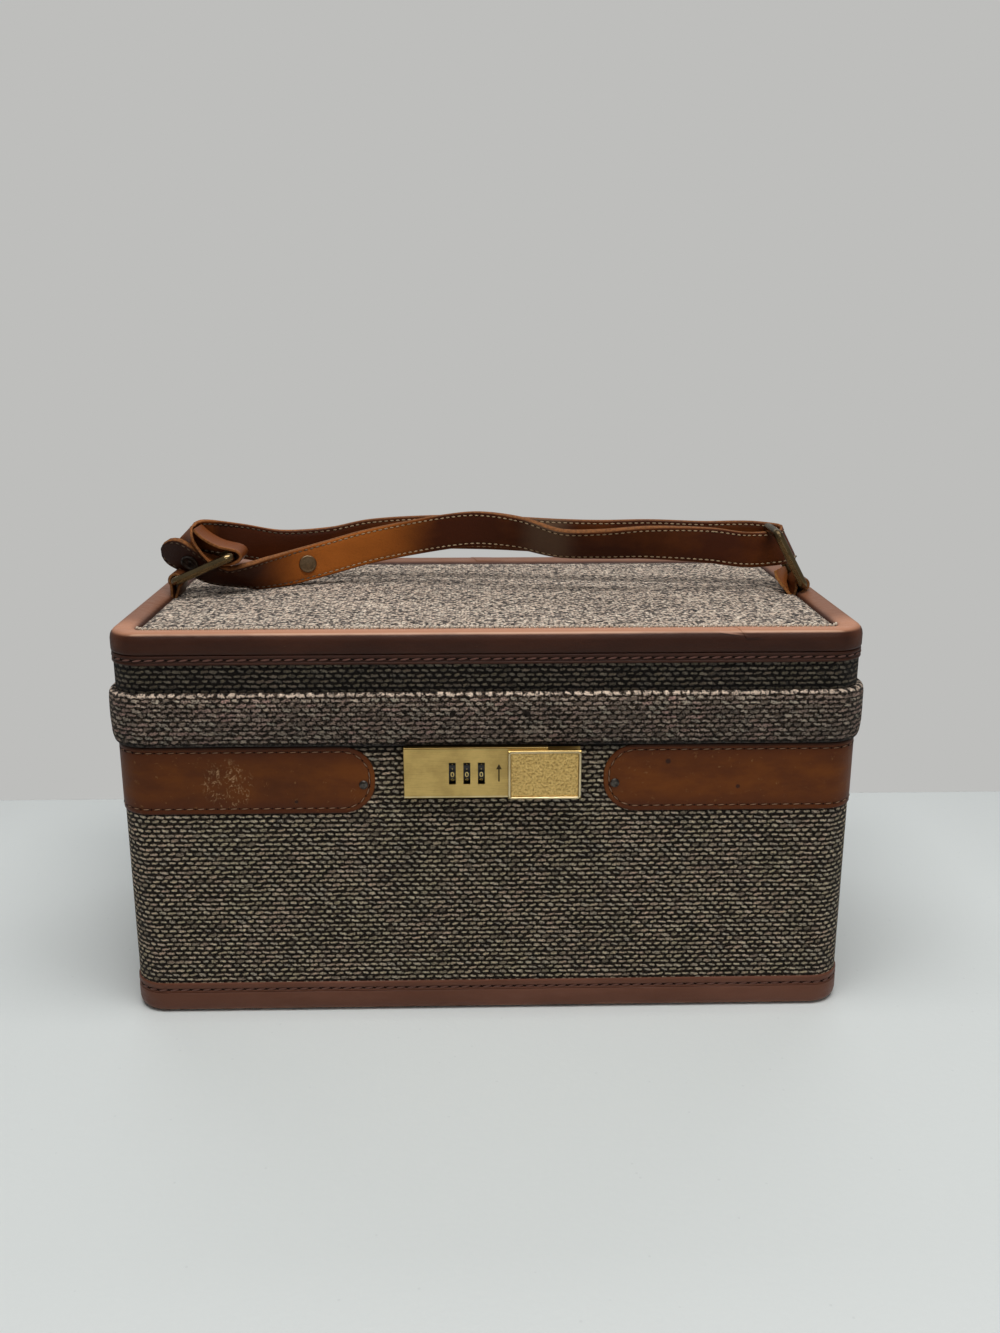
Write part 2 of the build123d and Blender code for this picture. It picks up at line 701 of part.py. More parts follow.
def tab_solid(pivot, side, extra):
    """Loop of leather round the ring's bar, with a tail and a foot sewn into the seam."""
    px, pz = pivot
    half = TAB_W / 2 + extra
    loop_r = WIRE_R + LID_HOLE_GAP + TAB_T + extra
    loop = rod_y(px, -half, half, pz, loop_r)
    tail_in = side * SEAM_X - side * (TAB_T + extra)
    tail_out = side * SEAM_X + side * (TAB_T + extra)
    tail = span(tail_in, tail_out, -half, half, TOP_PANEL_Z - extra, pz)
    low = LID_TOP
    foot = span(side * SEAM_X, side * SEAM_X + side * (TAB_FOOT + extra), -half, half, low, low + TAB_T + extra)
    root = span(side * SEAM_X, tail_out, -half, half, low, pz)
    return union([loop, tail, foot, root])


def tab_clearance(pivot, side):
    return tab_solid(pivot, side, FIT_GAP)


def handle_tab(pivot, side):
    px, pz = pivot
    bore = rod_y(px, -TAB_W, TAB_W, pz, WIRE_R + LID_HOLE_GAP)
    tab = tab_solid(pivot, side, 0) - bore
    return tab - prism(RIM_TOP_W, 0, LID_TOP) - prism(RIM_TOP_W, LID_TOP, TOP_PANEL_Z)


def ring(pivot, side, tilt):
    """Rectangular wire ring that hangs on its tab and leans in over the lid."""
    px, pz = pivot
    centre_line = RectangleRounded(RING_L, 2 * RING_HALF_W, RING_BEND)
    path = centre_line.wire()
    start = path @ 0
    tangent = path % 0
    section = Plane(origin=start, z_dir=tangent) * Circle(WIRE_R)
    loop = sweep(section, path=path, transition=Transition.ROUND)
    loop = Pos(RING_L / 2, 0, 0) * loop
    turned = Rot(0, -tilt, 0) * loop if side < 0 else Rot(0, tilt + 180, 0) * loop
    return Pos(px, 0, pz) * turned


def ribbon(stations):
    """Strap through stations of (x, y, z, slant, lean), in millimetres and degrees.

    The width stands upright at 0. The slant tips it to the left and the lean tips it to the
    front. Both ends are cut square across X, so that two ribbons meet face to face.
    """
    points = [Vector(x, y, z) for x, y, z, slant, lean in stations]
    last = len(points) - 1
    sections = []
    for i, (x, y, z, slant, lean) in enumerate(stations):
        run = points[min(i + 1, last)] - points[max(i - 1, 0)]
        if i in (0, last):
            run = Vector(math.copysign(1, run.X), 0, 0)
        run = run.normalized()
        left = math.sin(math.radians(slant))
        rest = math.cos(math.radians(slant))
        width_dir = Vector(-left, -rest * math.sin(math.radians(lean)), rest * math.cos(math.radians(lean)))
        ahead = run - width_dir * run.dot(width_dir)
        plane = Plane(origin=points[i], x_dir=width_dir, z_dir=ahead.normalized())
        sections.append(plane * Rectangle(STRAP_W, STRAP_T))
    return loft(sections, ruled=True)


# Centre line of the strap as it lies. Each station has its distance from the left end of the
# pass or from the nearer ring's pivot, its y, its height over the rim, its slant and its lean.
LEFT_LOOP_L = 77.4
RIGHT_LOOP_L = 48.2
PASS_L = 206.0
FRONT_STATIONS = [
    (0.0, 24.0, 13.1, 0, 0), (20.0, 25.5, 18.4, 0, 0), (40.0, 24.0, 22.8, 0, 0), (67.0, 17.0, 28.4, 0, 0),
    (83.0, 13.0, 30.2, 0, 0), (104.0, 7.0, 28.8, 0, 18), (125.0, 3.0, 23.9, 0, 32),
    (147.0, 1.0, 23.7, 0, 30), (173.0, 0.0, 24.6, 0, 18), (PASS_L, 0.0, 22.9, 0, 0),
]
BACK_STATIONS = [
    (0.0, 40.0, 18.0, 0, 0), (22.0, 40.5, 22.2, 0, 0), (56.0, 39.0, 24.4, 0, 0), (86.0, 36.0, 24.6, 0, 0),
    (106.0, 32.0, 24.3, 0, 0), (127.0, 28.0, 23.7, 0, 0), (149.0, 25.0, 23.5, 0, 0),
    (176.0, 22.0, 24.2, 0, 0), (PASS_L, 19.5, 23.5, 0, 0),
]
SNAP_STATION = (59.4, 20.0, 8.8, 0, 0)
RIGHT_TURN_R = 5.8
RIGHT_TURN_IN = 7.8
RIGHT_TURN_RISE = 18.6
LEFT_TURN_GAP = 2.2


def strap_pass(stations):
    """Stretches one pass of the strap to the room between the two rings."""
    left = LEFT_PIVOT[0] + LEFT_LOOP_L
    stretch = (RIGHT_PIVOT[0] - RIGHT_LOOP_L - left) / PASS_L
    return [(left + along * stretch, y, CASE_H + rise, slant, lean) for along, y, rise, slant, lean in stations]


def by_ring(pivot, stations):
    return [(pivot[0] + dx, y, CASE_H + rise, slant, lean) for dx, y, rise, slant, lean in stations]


def right_loop_stations():
    """From the front pass, round the far side bar of the right ring, to the back pass."""
    slant = 90 - RIGHT_RING_TILT
    stations = [(-32.2, 1.5, 20.6, slant / 2, 0), (-20.2, 4.6, 19.0, slant, 0)]
    for angle in range(-90, 91, 30):
        dx = RIGHT_TURN_R * math.cos(math.radians(angle)) - RIGHT_TURN_IN
        y = RING_HALF_W + RIGHT_TURN_R * math.sin(math.radians(angle))
        stations.append((dx, y, RIGHT_TURN_RISE, slant, 0))
    stations += [(-20.2, 18.4, 21.0, slant, 0), (-32.2, 18.8, 22.8, slant / 2, 0)]
    return [strap_pass(FRONT_STATIONS)[-1]] + by_ring(RIGHT_PIVOT, stations) + [strap_pass(BACK_STATIONS)[-1]]


def left_loop_stations():
    """From the front pass, under and round the end bar of the left ring, to the back pass."""
    tilt = math.radians(LEFT_RING_TILT)
    bar_dx = RING_L * math.cos(tilt)
    bar_rise = LEFT_PIVOT[1] - CASE_H + RING_L * math.sin(tilt)
    turn_r = WIRE_R + STRAP_T / 2 + LEFT_TURN_GAP
    stations = [SNAP_STATION, (50.4, 14.0, 8.6, 0, 35), (41.4, 5.0, 11.0, 0, 75)]
    for angle in range(-80, -281, -40):
        dx = bar_dx + turn_r * math.cos(math.radians(angle))
        rise = bar_rise + turn_r * math.sin(math.radians(angle))
        stations.append((dx, 0.0, rise, 0, 90))
    stations += [(40.4, 8.0, 25.4, 0, 72), (50.4, 26.0, 21.0, 0, 30), (59.4, 36.0, 17.6, 0, 0)]
    return [strap_pass(FRONT_STATIONS)[0]] + by_ring(LEFT_PIVOT, stations) + [strap_pass(BACK_STATIONS)[0]]


def strap_snap():
    """Snap cap on the front of the strap where its turned-back end is pressed shut."""
    x, y, z = by_ring(LEFT_PIVOT, [SNAP_STATION])[0][:3]
    next_x, next_y, next_z = strap_pass(FRONT_STATIONS)[0][:3]
    along = SNAP_ALONG / (next_x - x)
    place = Pos(x + SNAP_ALONG, y + along * (next_y - y), z + along * (next_z - z))
    heading = math.degrees(math.atan2(next_y - y, next_x - x))
    return place * Rot(0, 0, heading) * Rot(90, 0, 0) * Pos(0, 0, STRAP_T / 2) * extrude(Circle(SNAP_R), amount=SNAP_T)


os.makedirs("parts", exist_ok=True)

save("body_shell", body_shell())
save("body_tweed_cover", body_tweed_cover())
save("bottom_binding", bottom_binding())
save("bottom_panel_cover", bottom_panel_cover())
save("body_lining", body_lining())
save("body_lip", body_lip())
save("back_pocket", back_pocket())
save("side_band_left", side_band(-1))
save("side_band_right", side_band(1))
save("side_band_rivets", side_rivets())

save("lock_base_plate", lock_base_plate())
save("lock_housing", lock_housing())
save("lock_back_box", lock_back_box())
save("lock_rivets", lock_rivets())
save("dial_frame", dial_frame())
save("dial_axle", dial_axle())
save("dial_spring", dial_spring())
for number, dial_x in enumerate(dial_places(), start=1):
    save(f"dial_{number}", dial(dial_x))
save("latch_slider", latch_slider())
save("latch_bolt", latch_bolt())

save("hinge_leaf_body", hinge_leaf_body())
save("hinge_leaf_lid", hinge_leaf_lid())
save("hinge_pin", hinge_pin())
save("hinge_rivets_body", hinge_rivets_body())
save("hinge_rivets_lid", hinge_rivets_lid())

save("lid_shell", lid_shell())
save("lid_tweed_side", lid_tweed_side())
save("lid_tweed_top", lid_tweed_top())
save("lid_binding", lid_binding())
save("padded_band", padded_band())
save("lid_lining", lid_lining())
save("lid_mirror", lid_mirror())
save("mirror_frame", mirror_frame())
save("hasp", hasp())
save("hasp_rivets", hasp_rivets())
for side, word in ((-1, "left"), (1, "right")):
    save(f"stay_tape_{word}", stay_tape(side))
    save(f"stay_clip_body_{word}", stay_clip(side, True))
    save(f"stay_clip_lid_{word}", stay_clip(side, False))

save("handle_tab_left", handle_tab(LEFT_PIVOT, -1))
save("handle_tab_right", handle_tab(RIGHT_PIVOT, 1))
save("ring_left", ring(LEFT_PIVOT, -1, LEFT_RING_TILT))
save("ring_right", ring(RIGHT_PIVOT, 1, RIGHT_RING_TILT))
save("strap_front", ribbon(strap_pass(FRONT_STATIONS)))
save("strap_back", ribbon(strap_pass(BACK_STATIONS)))
save("strap_loop_left", ribbon(left_loop_stations()))
save("strap_loop_right", ribbon(right_loop_stations()))
save("strap_snap", strap_snap())
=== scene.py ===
import math
import random

import bpy
from mathutils import Matrix, Vector, noise


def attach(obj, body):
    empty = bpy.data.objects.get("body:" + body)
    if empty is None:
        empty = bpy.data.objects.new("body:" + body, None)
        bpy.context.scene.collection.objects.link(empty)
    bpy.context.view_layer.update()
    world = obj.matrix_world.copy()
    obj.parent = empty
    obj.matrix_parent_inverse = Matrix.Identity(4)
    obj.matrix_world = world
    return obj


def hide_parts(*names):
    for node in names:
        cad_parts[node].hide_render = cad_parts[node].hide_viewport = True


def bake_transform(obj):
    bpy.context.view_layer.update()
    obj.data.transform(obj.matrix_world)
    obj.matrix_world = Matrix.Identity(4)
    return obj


# Looks of the cosmetic train case. Lengths are in millimetres and MM turns them into Blender's
# metres. X to the right, Y to the back, Z up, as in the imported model.

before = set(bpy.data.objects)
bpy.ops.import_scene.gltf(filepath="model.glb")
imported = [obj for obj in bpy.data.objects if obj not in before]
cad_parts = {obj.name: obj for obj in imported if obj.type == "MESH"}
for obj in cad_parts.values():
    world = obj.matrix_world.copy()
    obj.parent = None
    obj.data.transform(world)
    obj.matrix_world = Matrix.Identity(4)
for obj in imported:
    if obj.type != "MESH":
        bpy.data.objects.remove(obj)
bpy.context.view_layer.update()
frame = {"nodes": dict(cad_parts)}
NODES = frame["nodes"]
MM = 0.001
random.seed(7)

HALF_W = 178.0
HALF_D = 97.5
CORNER_R = 17.0
TWEED_IN = 0.85
FRONT_Y = -96.65
LOCK_FACE_Y = FRONT_Y - 4.5
FLAT_X = HALF_W - CORNER_R
FLAT_Y = HALF_D - CORNER_R
BEND = CORNER_R * math.pi / 2
QUARTER = FLAT_X + FLAT_Y + BEND


# Node graphs


class Value:
    """Output of a node. Arithmetic with it adds Math nodes to its graph."""

    def __init__(self, graph, socket):
        self.graph = graph
        self.socket = socket

    def other(self, output):
        """Another output of the same node."""
        return Value(self.graph, self.socket.node.outputs[output])

    def __add__(self, number):
        return self.graph.math("ADD", self, number)

    def __radd__(self, number):
        return self.graph.math("ADD", number, self)

    def __sub__(self, number):
        return self.graph.math("SUBTRACT", self, number)

    def __rsub__(self, number):
        return self.graph.math("SUBTRACT", number, self)

    def __mul__(self, number):
        return self.graph.math("MULTIPLY", self, number)

    def __truediv__(self, number):
        return self.graph.math("DIVIDE", self, number)

    def __pow__(self, number):
        return self.graph.math("POWER", self, number)

    def __abs__(self):
        return self.graph.math("ABSOLUTE", self)


class Graph:
    """Short way to build the nodes of a material, or of the world. Most calls return a Value."""

    def __init__(self, name, kind=bpy.data.materials):
        self.data = kind.new(name)
        self.data.use_nodes = True
        self.tree = self.data.node_tree

    def put(self, socket, value):
        """Link a Value to a socket, or set a number, or a screen colour given as a tuple."""
        if isinstance(value, Value):
            self.tree.links.new(value.socket, socket)
        elif isinstance(value, tuple):
            socket.default_value = colour(value)
        elif value is not None:
            socket.default_value = value

    def add(self, kind, inputs, output=0, **settings):
        """New node with its inputs given by name or number. Returns one of its outputs."""
        made = self.tree.nodes.new(kind)
        for key, value in settings.items():
            setattr(made, key, value)
        for key, value in inputs.items():
            self.put(made.inputs[key], value)
        return Value(self, made.outputs[output])

    def math(self, operation, *values, clamp=False):
        return self.add("ShaderNodeMath", dict(enumerate(values)), operation=operation, use_clamp=clamp)

    def step(self, low, high, value, to_low=0.0, to_high=1.0):
        """Smooth step from low to high."""
        inputs = {"Value": value, "From Min": low, "From Max": high, "To Min": to_low, "To Max": to_high}
        return self.add("ShaderNodeMapRange", inputs, "Result", interpolation_type="SMOOTHSTEP")

    def window(self, value, zero_a, one_a, zero_b, one_b):
        """One in a range of a value, with a smooth step at each of its ends."""
        return self.step(zero_a, one_a, value) * self.step(zero_b, one_b, value)

    def mix(self, factor, a, b):
        return self.add("ShaderNodeMix", {0: factor, 6: a, 7: b}, 2, data_type="RGBA")

    def tint(self, base, rgb, value, low, high, strength=1.0):
        """The base colour, which turns to another one as a value goes from low to high."""
        return self.mix(self.step(low, high, value, 0.0, strength), base, rgb)

    def xyz(self, x, y, z):
        return self.add("ShaderNodeCombineXYZ", {0: x, 1: y, 2: z})

    def split(self, vector):
        first = self.add("ShaderNodeSeparateXYZ", {0: vector})
        return [first.other(i) for i in range(3)]

    def place(self):
        """Point on the object in millimetres, as three values."""
        where = self.add("ShaderNodeTexCoord", {}, "Object")
        return self.split(self.add("ShaderNodeVectorMath", {0: where, "Scale": 1 / MM}, operation="SCALE"))

    def noise(self, point, scale, detail=3.0, rough=0.55, twist=0.0, output="Fac"):
        inputs = {"Vector": self.xyz(*point), "Scale": scale, "Detail": detail, "Roughness": rough,
                  "Distortion": twist}
        return self.add("ShaderNodeTexNoise", inputs, output)

    def cells(self, point, scale):
        """Distance to the nearest of many scattered spots. The output Color is random for each spot."""
        return self.add("ShaderNodeTexVoronoi", {"Vector": self.xyz(*point), "Scale": scale}, "Distance")

    def attribute(self, name):
        return self.add("ShaderNodeAttribute", {}, "Fac", attribute_name=name)

    def bump(self, height, distance, strength=1.0, below=None):
        """Bump of a height from 0 to 1 that stands for a distance in millimetres."""
        inputs = {"Strength": strength, "Distance": distance * MM, "Height": height, "Normal": below}
        return self.add("ShaderNodeBump", inputs)

    def finish(self, base, rough, normal=None, **fixed):
        """Set the shader's inputs, and return the material."""
        shader = self.tree.nodes["Principled BSDF"]
        for name, value in {"base_color": base, "roughness": rough, "normal": normal, **fixed}.items():
            self.put(shader.inputs[name.replace("_", " ").title().replace("Ior", "IOR")], value)
        return self.data


def colour(rgb):
    """A screen colour from 0 to 255 as Blender's linear colour."""
    linear = [((c / 255 + 0.055) / 1.055) ** 2.4 if c > 10 else c / 255 / 12.92 for c in rgb]
    return (*linear, 1.0)


def wall_place(g):
    """Arc length round the case from its front centre, and the height, so that a weave turns the corners."""
    x, y, z = g.place()
    ax = abs(x)
    ay = abs(y)
    dx = g.math("MAXIMUM", ax - FLAT_X, 0.0)
    dy = g.math("MAXIMUM", ay - FLAT_Y, 0.0)
    turn = g.math("ARCTAN2", dx, dy) * CORNER_R
    along_front = g.math("MINIMUM", ax, FLAT_X) + turn
    quarter = along_front + (FLAT_Y - g.math("MINIMUM", ay, FLAT_Y))
    half = QUARTER + g.math("SIGN", y) * (QUARTER - quarter)
    return g.math("SIGN", x) * half, z, y


def darker(rgb, share):
    return tuple(int(c * share) for c in rgb)


# Cloth materials


def weave(g, u, v, pitch, row, half_l, half_t, wander, nap):
    """Bricked rows of short threads. Returns how much of a thread shows, and its random numbers."""
    drift = g.split(g.noise((u, v, 0.0), 0.5, 3.0, output="Color"))
    u = u + (drift[0] - 0.5) * wander
    v = v + (drift[1] - 0.5) * (wander * 0.6)
    rows = v / row
    row_number = g.math("FLOOR", rows)
    columns = u / pitch + row_number * 0.5
    column_number = g.math("FLOOR", columns)
    thread_number = g.xyz(column_number, row_number, 0.0)
    luck = g.add("ShaderNodeTexWhiteNoise", {"Vector": thread_number}, "Color", noise_dimensions="2D")
    chance = g.split(luck)
    across = (g.math("FRACT", columns) - 0.5) * pitch
    upward = (g.math("FRACT", rows) - 0.5) * row
    upward = upward + across * ((chance[1] - 0.5) * 0.4)
    upward = upward + (chance[0] - 0.5) * (row * 0.16)
    length = half_l * 0.78 + chance[0] * (half_l * 0.44)
    thick = half_t * 0.75 + chance[2] * (half_t * 0.5)
    far = abs(across / length) ** 3.5 + abs(upward / thick) ** 2.0
    ragged = g.noise((u, v * 1.3, 7.0), 0.95, 3.0, 0.75)
    far = far + (ragged - 0.52) * nap
    return g.step(1.35, 0.2, far), chance


def tweed_colours(g, u, v, chance, pale, pink, green):
    """Colour of the threads: each one differs, and slow patches differ too."""
    patch = g.noise((u, v, 3.0), 0.035, 3.0)
    yarn = g.tint(pale, pink, chance[0], 0.35, 0.75)
    yarn = g.tint(yarn, green, patch, 0.42, 0.6, 0.8)
    yarn = g.tint(yarn, (94, 80, 66), chance[2], 0.62, 0.95, 0.7)
    yarn = g.tint(yarn, (52, 44, 38), chance[1], 0.88, 0.93, 0.8)
    fibre = g.noise((u * 0.3, v, 0.0), 3.0, 3.0, 0.6)
    return g.tint(yarn, (64, 54, 44), fibre, 0.58, 0.38, 0.75)


def side_tweed(name, spacing, row, wander, light, fuzz, crown):
    """Coarse tweed of pale threads on a near-black ground, with a painted highlight on some thread centres.
    With a crown height, a painted highlight marks the lit top edge, with painted shade below it and along the
    bottom; without one, painted shade falls next to the padded band and on the lid's strip under the rim.
    """
    g = Graph(name)
    u, v = wall_place(g)[:2]
    pitch = 4 * QUARTER / round(4 * QUARTER / spacing)
    shown, chance = weave(g, u, v, pitch, row, 0.42 * spacing, 0.66, wander, 9.0 if crown else 4.5)
    yarn = tweed_colours(g, u, v, chance, *light)
    ground_noise = g.noise((u, v * 0.7, 0.0), 0.9, 5.0, 0.75)
    ground = g.tint((15, 11, 8), (66, 54, 43), ground_noise, 0.5, 0.66)
    hair = g.noise((u * 0.6, v, 5.0), 1.2, 4.0, 0.8, 1.0)
    shown = g.math("SUBTRACT", shown, g.step(0.5, 0.66, hair, 0.0, 0.75), clamp=True)
    # Painted highlight: the centres of some threads turn near-white.
    yarn = g.mix(g.step(0.55, 1.0, shown) * g.step(0.2, 0.9, chance[1], 0.1, 0.55), yarn, (255, 240, 214))
    base = g.mix(shown, ground, yarn)
    base = g.tint(base, (158, 134, 116), hair, 0.52, 0.66, fuzz)
    dim = g.noise((u, v, 11.0), 0.9, 3.0, 0.75)
    base = g.tint(base, (24, 18, 15), dim, 0.56, 0.68, 0.6)
    if crown:
        # Painted highlight on the band's lit top edge, painted shade below it, and dark painted shade along
        # the bottom where the band tucks under.
        lit = g.step(crown - 1.5, crown + 0.5, v) * g.step(0.3, 0.7, shown)
        base = g.mix(lit * 0.9, base, (244, 220, 198))
        base = g.tint(base, (10, 8, 7), v, crown - 3.0, crown - 8.0, 0.22)
        base = g.tint(base, (8, 6, 5), v, 142.2, 140.8, 0.85)
    else:
        # Painted shade on the wall tweed: dark lines just above and below the padded band, and the lid's
        # strip under the rim darkened.
        above = g.window(v, 163.0, 165.0, 169.4, 166.4)
        below = g.window(v, 135.5, 139.5, 142.0, 141.0)
        shade = (above + below) * 0.8 + g.step(160.0, 165.0, v, 0.0, 0.7)
        base = g.mix(g.math("MINIMUM", shade, 0.85), base, (8, 6, 5))
    height = shown * 0.9 + hair * 0.5
    return g.finish(base, 0.95, g.bump(height, 0.9), sheen_weight=0.08, sheen_roughness=0.5,
                    specular_ior_level=0.1)


def top_tweed():
    """Finer salt-and-pepper tweed of the lid's panel: short cream, grey and dark threads."""
    g = Graph("Tweed_top")
    x, y = g.place()[:2]
    drift = g.split(g.noise((x, y, 0.0), 0.9, 3.0, output="Color"))
    x = x + (drift[0] - 0.5) * 1.6
    y = y + (drift[1] - 0.5) * 1.6
    spots = g.cells((x * 0.85, y, 0.0), 0.82)
    luck = g.split(spots.other("Color"))
    yarn = g.tint((255, 240, 220), (224, 202, 182), luck[1], 0.0, 0.6)
    yarn = g.tint(yarn, (150, 138, 128), luck[0], 0.56, 0.62)
    yarn = g.tint(yarn, (92, 84, 82), luck[0], 0.78, 0.82)
    yarn = g.tint(yarn, (34, 31, 33), luck[0], 0.9, 0.93)
    gap = g.step(0.42, 0.8, spots)
    hair = g.noise((x, y, 1.0), 2.0, 5.0, 0.75, 1.0)
    base = g.mix(gap * 0.9, yarn, (44, 37, 33))
    base = g.tint(base, (88, 78, 70), hair, 0.5, 0.68, 0.6)
    height = 1.0 - gap + hair * 0.5
    return g.finish(base, 0.95, g.bump(height, 0.6), sheen_weight=0.1, specular_ior_level=0.1)


def plain_cloth(name, base, ribs, shine):
    """Smooth lining cloth with a fine rib."""
    g = Graph(name)
    x, y, z = g.place()
    rib = g.math("SINE", (x + y + z) * ribs)
    cross = g.math("SINE", (x + y - z) * ribs)
    patch = g.noise((x, y, z), 0.04, 4.0)
    shade = darker(base, 0.86)
    mixed = g.tint(base, shade, patch, 0.3, 0.7, 0.45)
    mixed = g.tint(mixed, shade, rib, 0.3, 1.0, 0.3)
    height = (rib + cross) * 0.25
    return g.finish(mixed, 0.75, g.bump(height, 0.12), sheen_weight=shine, specular_ior_level=0.25)


def tape_cloth():
    """Ribbed brown tape."""
    g = Graph("Tape")
    rib = g.math("SINE", g.place()[1] * 5.0)
    base = g.tint((96, 76, 58), (140, 116, 92), rib, -0.6, 0.9)
    return g.finish(base, 0.85, g.bump(rib, 0.15), specular_ior_level=0.2)


# Leather and vinyl materials


def grain(g, x, y, z, size):
    """Pebbled grain: small cells with soft creases between them."""
    cell = g.cells((x, y, z), size)
    fine = g.noise((x, y, z), size * 2.2, 3.0)
    return g.step(0.0, 0.8, cell) * 0.6 + fine * 0.5


def vinyl():
    """Satin mauve-brown vinyl of the bindings, with scuffs. The lid rim's face is darkened as painted shade
    and its top made paler as painted light; painted highlights run along the rim's top edge, the lap and the
    bottom edge, with a painted shadow under the lap.
    """
    g = Graph("Binding_vinyl")
    x, y, z = g.place()
    slow = g.noise((x * 0.4, y * 0.4, z), 0.05, 4.0)
    base = g.tint((102, 62, 45), (114, 72, 55), slow, 0.35, 0.7)
    # Painted shade darkens the lid rim's face; painted light makes the rim's top paler, most at the front.
    rim_painted_shade = g.tint((55, 28, 17), (66, 35, 22), slow, 0.35, 0.7)
    base = g.tint(base, rim_painted_shade, z, 100.0, 170.0)
    top_painted_light = g.tint((178, 126, 98), (128, 86, 64), y, -84.0, -60.0)
    base = g.tint(base, top_painted_light, z + (slow - 0.5) * 0.8, 192.9, 194.3)
    # Lighter line along the rim's outer top edge: a painted highlight, broken up like wear.
    outer = g.math("MAXIMUM", g.step(-95.2, -95.8, y), g.step(175.7, 176.3, abs(x)))
    wear_and_light = outer * g.window(z, 193.3, 193.8, 194.6, 194.2)
    base = g.mix(wear_and_light * g.step(0.3, 0.55, slow, 0.2, 0.6), base, (220, 178, 150))
    # Where the strip laps over itself at the front: a painted highlight on the lap's ridge and a painted
    # shadow below it.
    front = g.step(-93.5, -95.0, y)
    lap = z + (x - 107.5) * 0.12
    lapped = front * g.window(x, 106.3, 107.3, 121.0, 110.0)
    lap_highlight = lapped * g.window(lap, 193.4, 193.7, 194.4, 194.1)
    below = lapped * g.window(lap, 192.5, 193.0, 193.5, 193.3)
    base = g.mix(below * 0.5, base, (30, 14, 9))
    base = g.mix(lap_highlight * 0.6, base, (196, 148, 124))
    corner = g.step(166.0, 175.0, abs(x)) * g.step(-84.0, -93.0, y)
    corner = corner * g.step(186.0, 192.0, z + slow * 4.0)
    base = g.mix(corner * 0.3, base, (132, 80, 56))
    scuff = g.noise((x * 0.25, y * 0.6, z), 0.55, 6.0, 0.7)
    base = g.tint(base, (150, 106, 84), scuff, 0.66, 0.76, 0.4)
    # Lighter line along the bottom edge: wear, and a painted highlight where the edge turns under.
    foot = g.window(z, 0.5, 1.0, 2.3, 1.3)
    base = g.mix(foot * g.step(0.3, 0.6, slow, 0.15, 0.6), base, (158, 118, 96))
    dust = g.noise((x, y, z), 1.4, 3.0, 0.6)
    base = g.tint(base, (88, 56, 46), dust, 0.7, 0.8, 0.35)
    rough = g.step(0.3, 0.8, scuff, 0.36, 0.58)
    bump = g.bump(grain(g, x, y, z, 1.3), 0.07)
    wave = g.noise((x * 0.15, y * 0.15, z * 0.5), 0.5, 2.0)
    return g.finish(base, rough, g.bump(wave, 0.5, 0.6, bump), specular_ior_level=0.2)


def near(g, u, v, s, z, radius):
    """One at a spot of the wall, falling to zero at a radius."""
    far = (u - s) ** 2.0 + (v - z) ** 2.0
    return g.step(radius ** 2, radius ** 2 * 0.25, far)


def band_leather():
    """Tan leather of the side bands: dark along the edges, cloudy, and scratched here and there, with painted
    shade along its top under the padded band.
    """
    g = Graph("Tan_leather")
    u, v, depth = wall_place(g)
    cloud = g.noise((u * 0.5, v, 0.0), 0.09, 5.0, 0.6)
    base = g.tint((92, 45, 11), (116, 61, 17), cloud, 0.3, 0.7)
    speck = g.noise((u, v, 4.0), 0.6, 4.0, 0.7)
    base = g.tint(base, (80, 38, 14), speck, 0.56, 0.75, 0.3)
    base = g.tint(base, (48, 24, 8), u, -60.0, -90.0, 0.22)
    middle = abs(v - 122.75)
    base = g.tint(base, (76, 34, 14), middle + cloud * 5.0, 9.0, 17.0, 0.6)
    bent = g.noise((u, v, 0.0), 0.12, 4.0, 0.6, 2.0)
    line = abs(bent - 0.5)
    broken = g.noise((u, v, 9.0), 0.3, 3.0)
    scratch = g.step(0.008, 0.003, line) * g.step(0.6, 0.68, broken)
    fine = abs(g.noise((u, v * 0.6, 2.0), 0.22, 5.0, 0.7, 1.0) - 0.5)
    nicks = g.step(0.014, 0.004, fine) * near(g, u, v, -124.0, 121.0, 14.0)
    nicks = nicks * g.step(0.46, 0.56, speck)
    base = g.mix(scratch * 0.7, base, (176, 130, 80))
    base = g.mix(nicks, base, (222, 182, 134))
    for s, z, r in ((85.0, 131.0, 1.6), (119.0, 118.0, 1.3), (-92.0, 112.0, 1.1), (210.0, 126.0, 1.5)):
        base = g.mix(near(g, u, v, s, z, r) * 0.8, base, (34, 20, 16))
    # Painted shade along the band's top, under the padded band.
    base = g.tint(base, (12, 6, 3), v, 137.6, 139.4, 0.8)
    rough = g.step(0.3, 0.75, cloud, 0.38, 0.55)
    height = grain(g, u, v, depth, 1.1)
    return g.finish(base, rough, g.bump(height, 0.09), specular_ior_level=0.16)


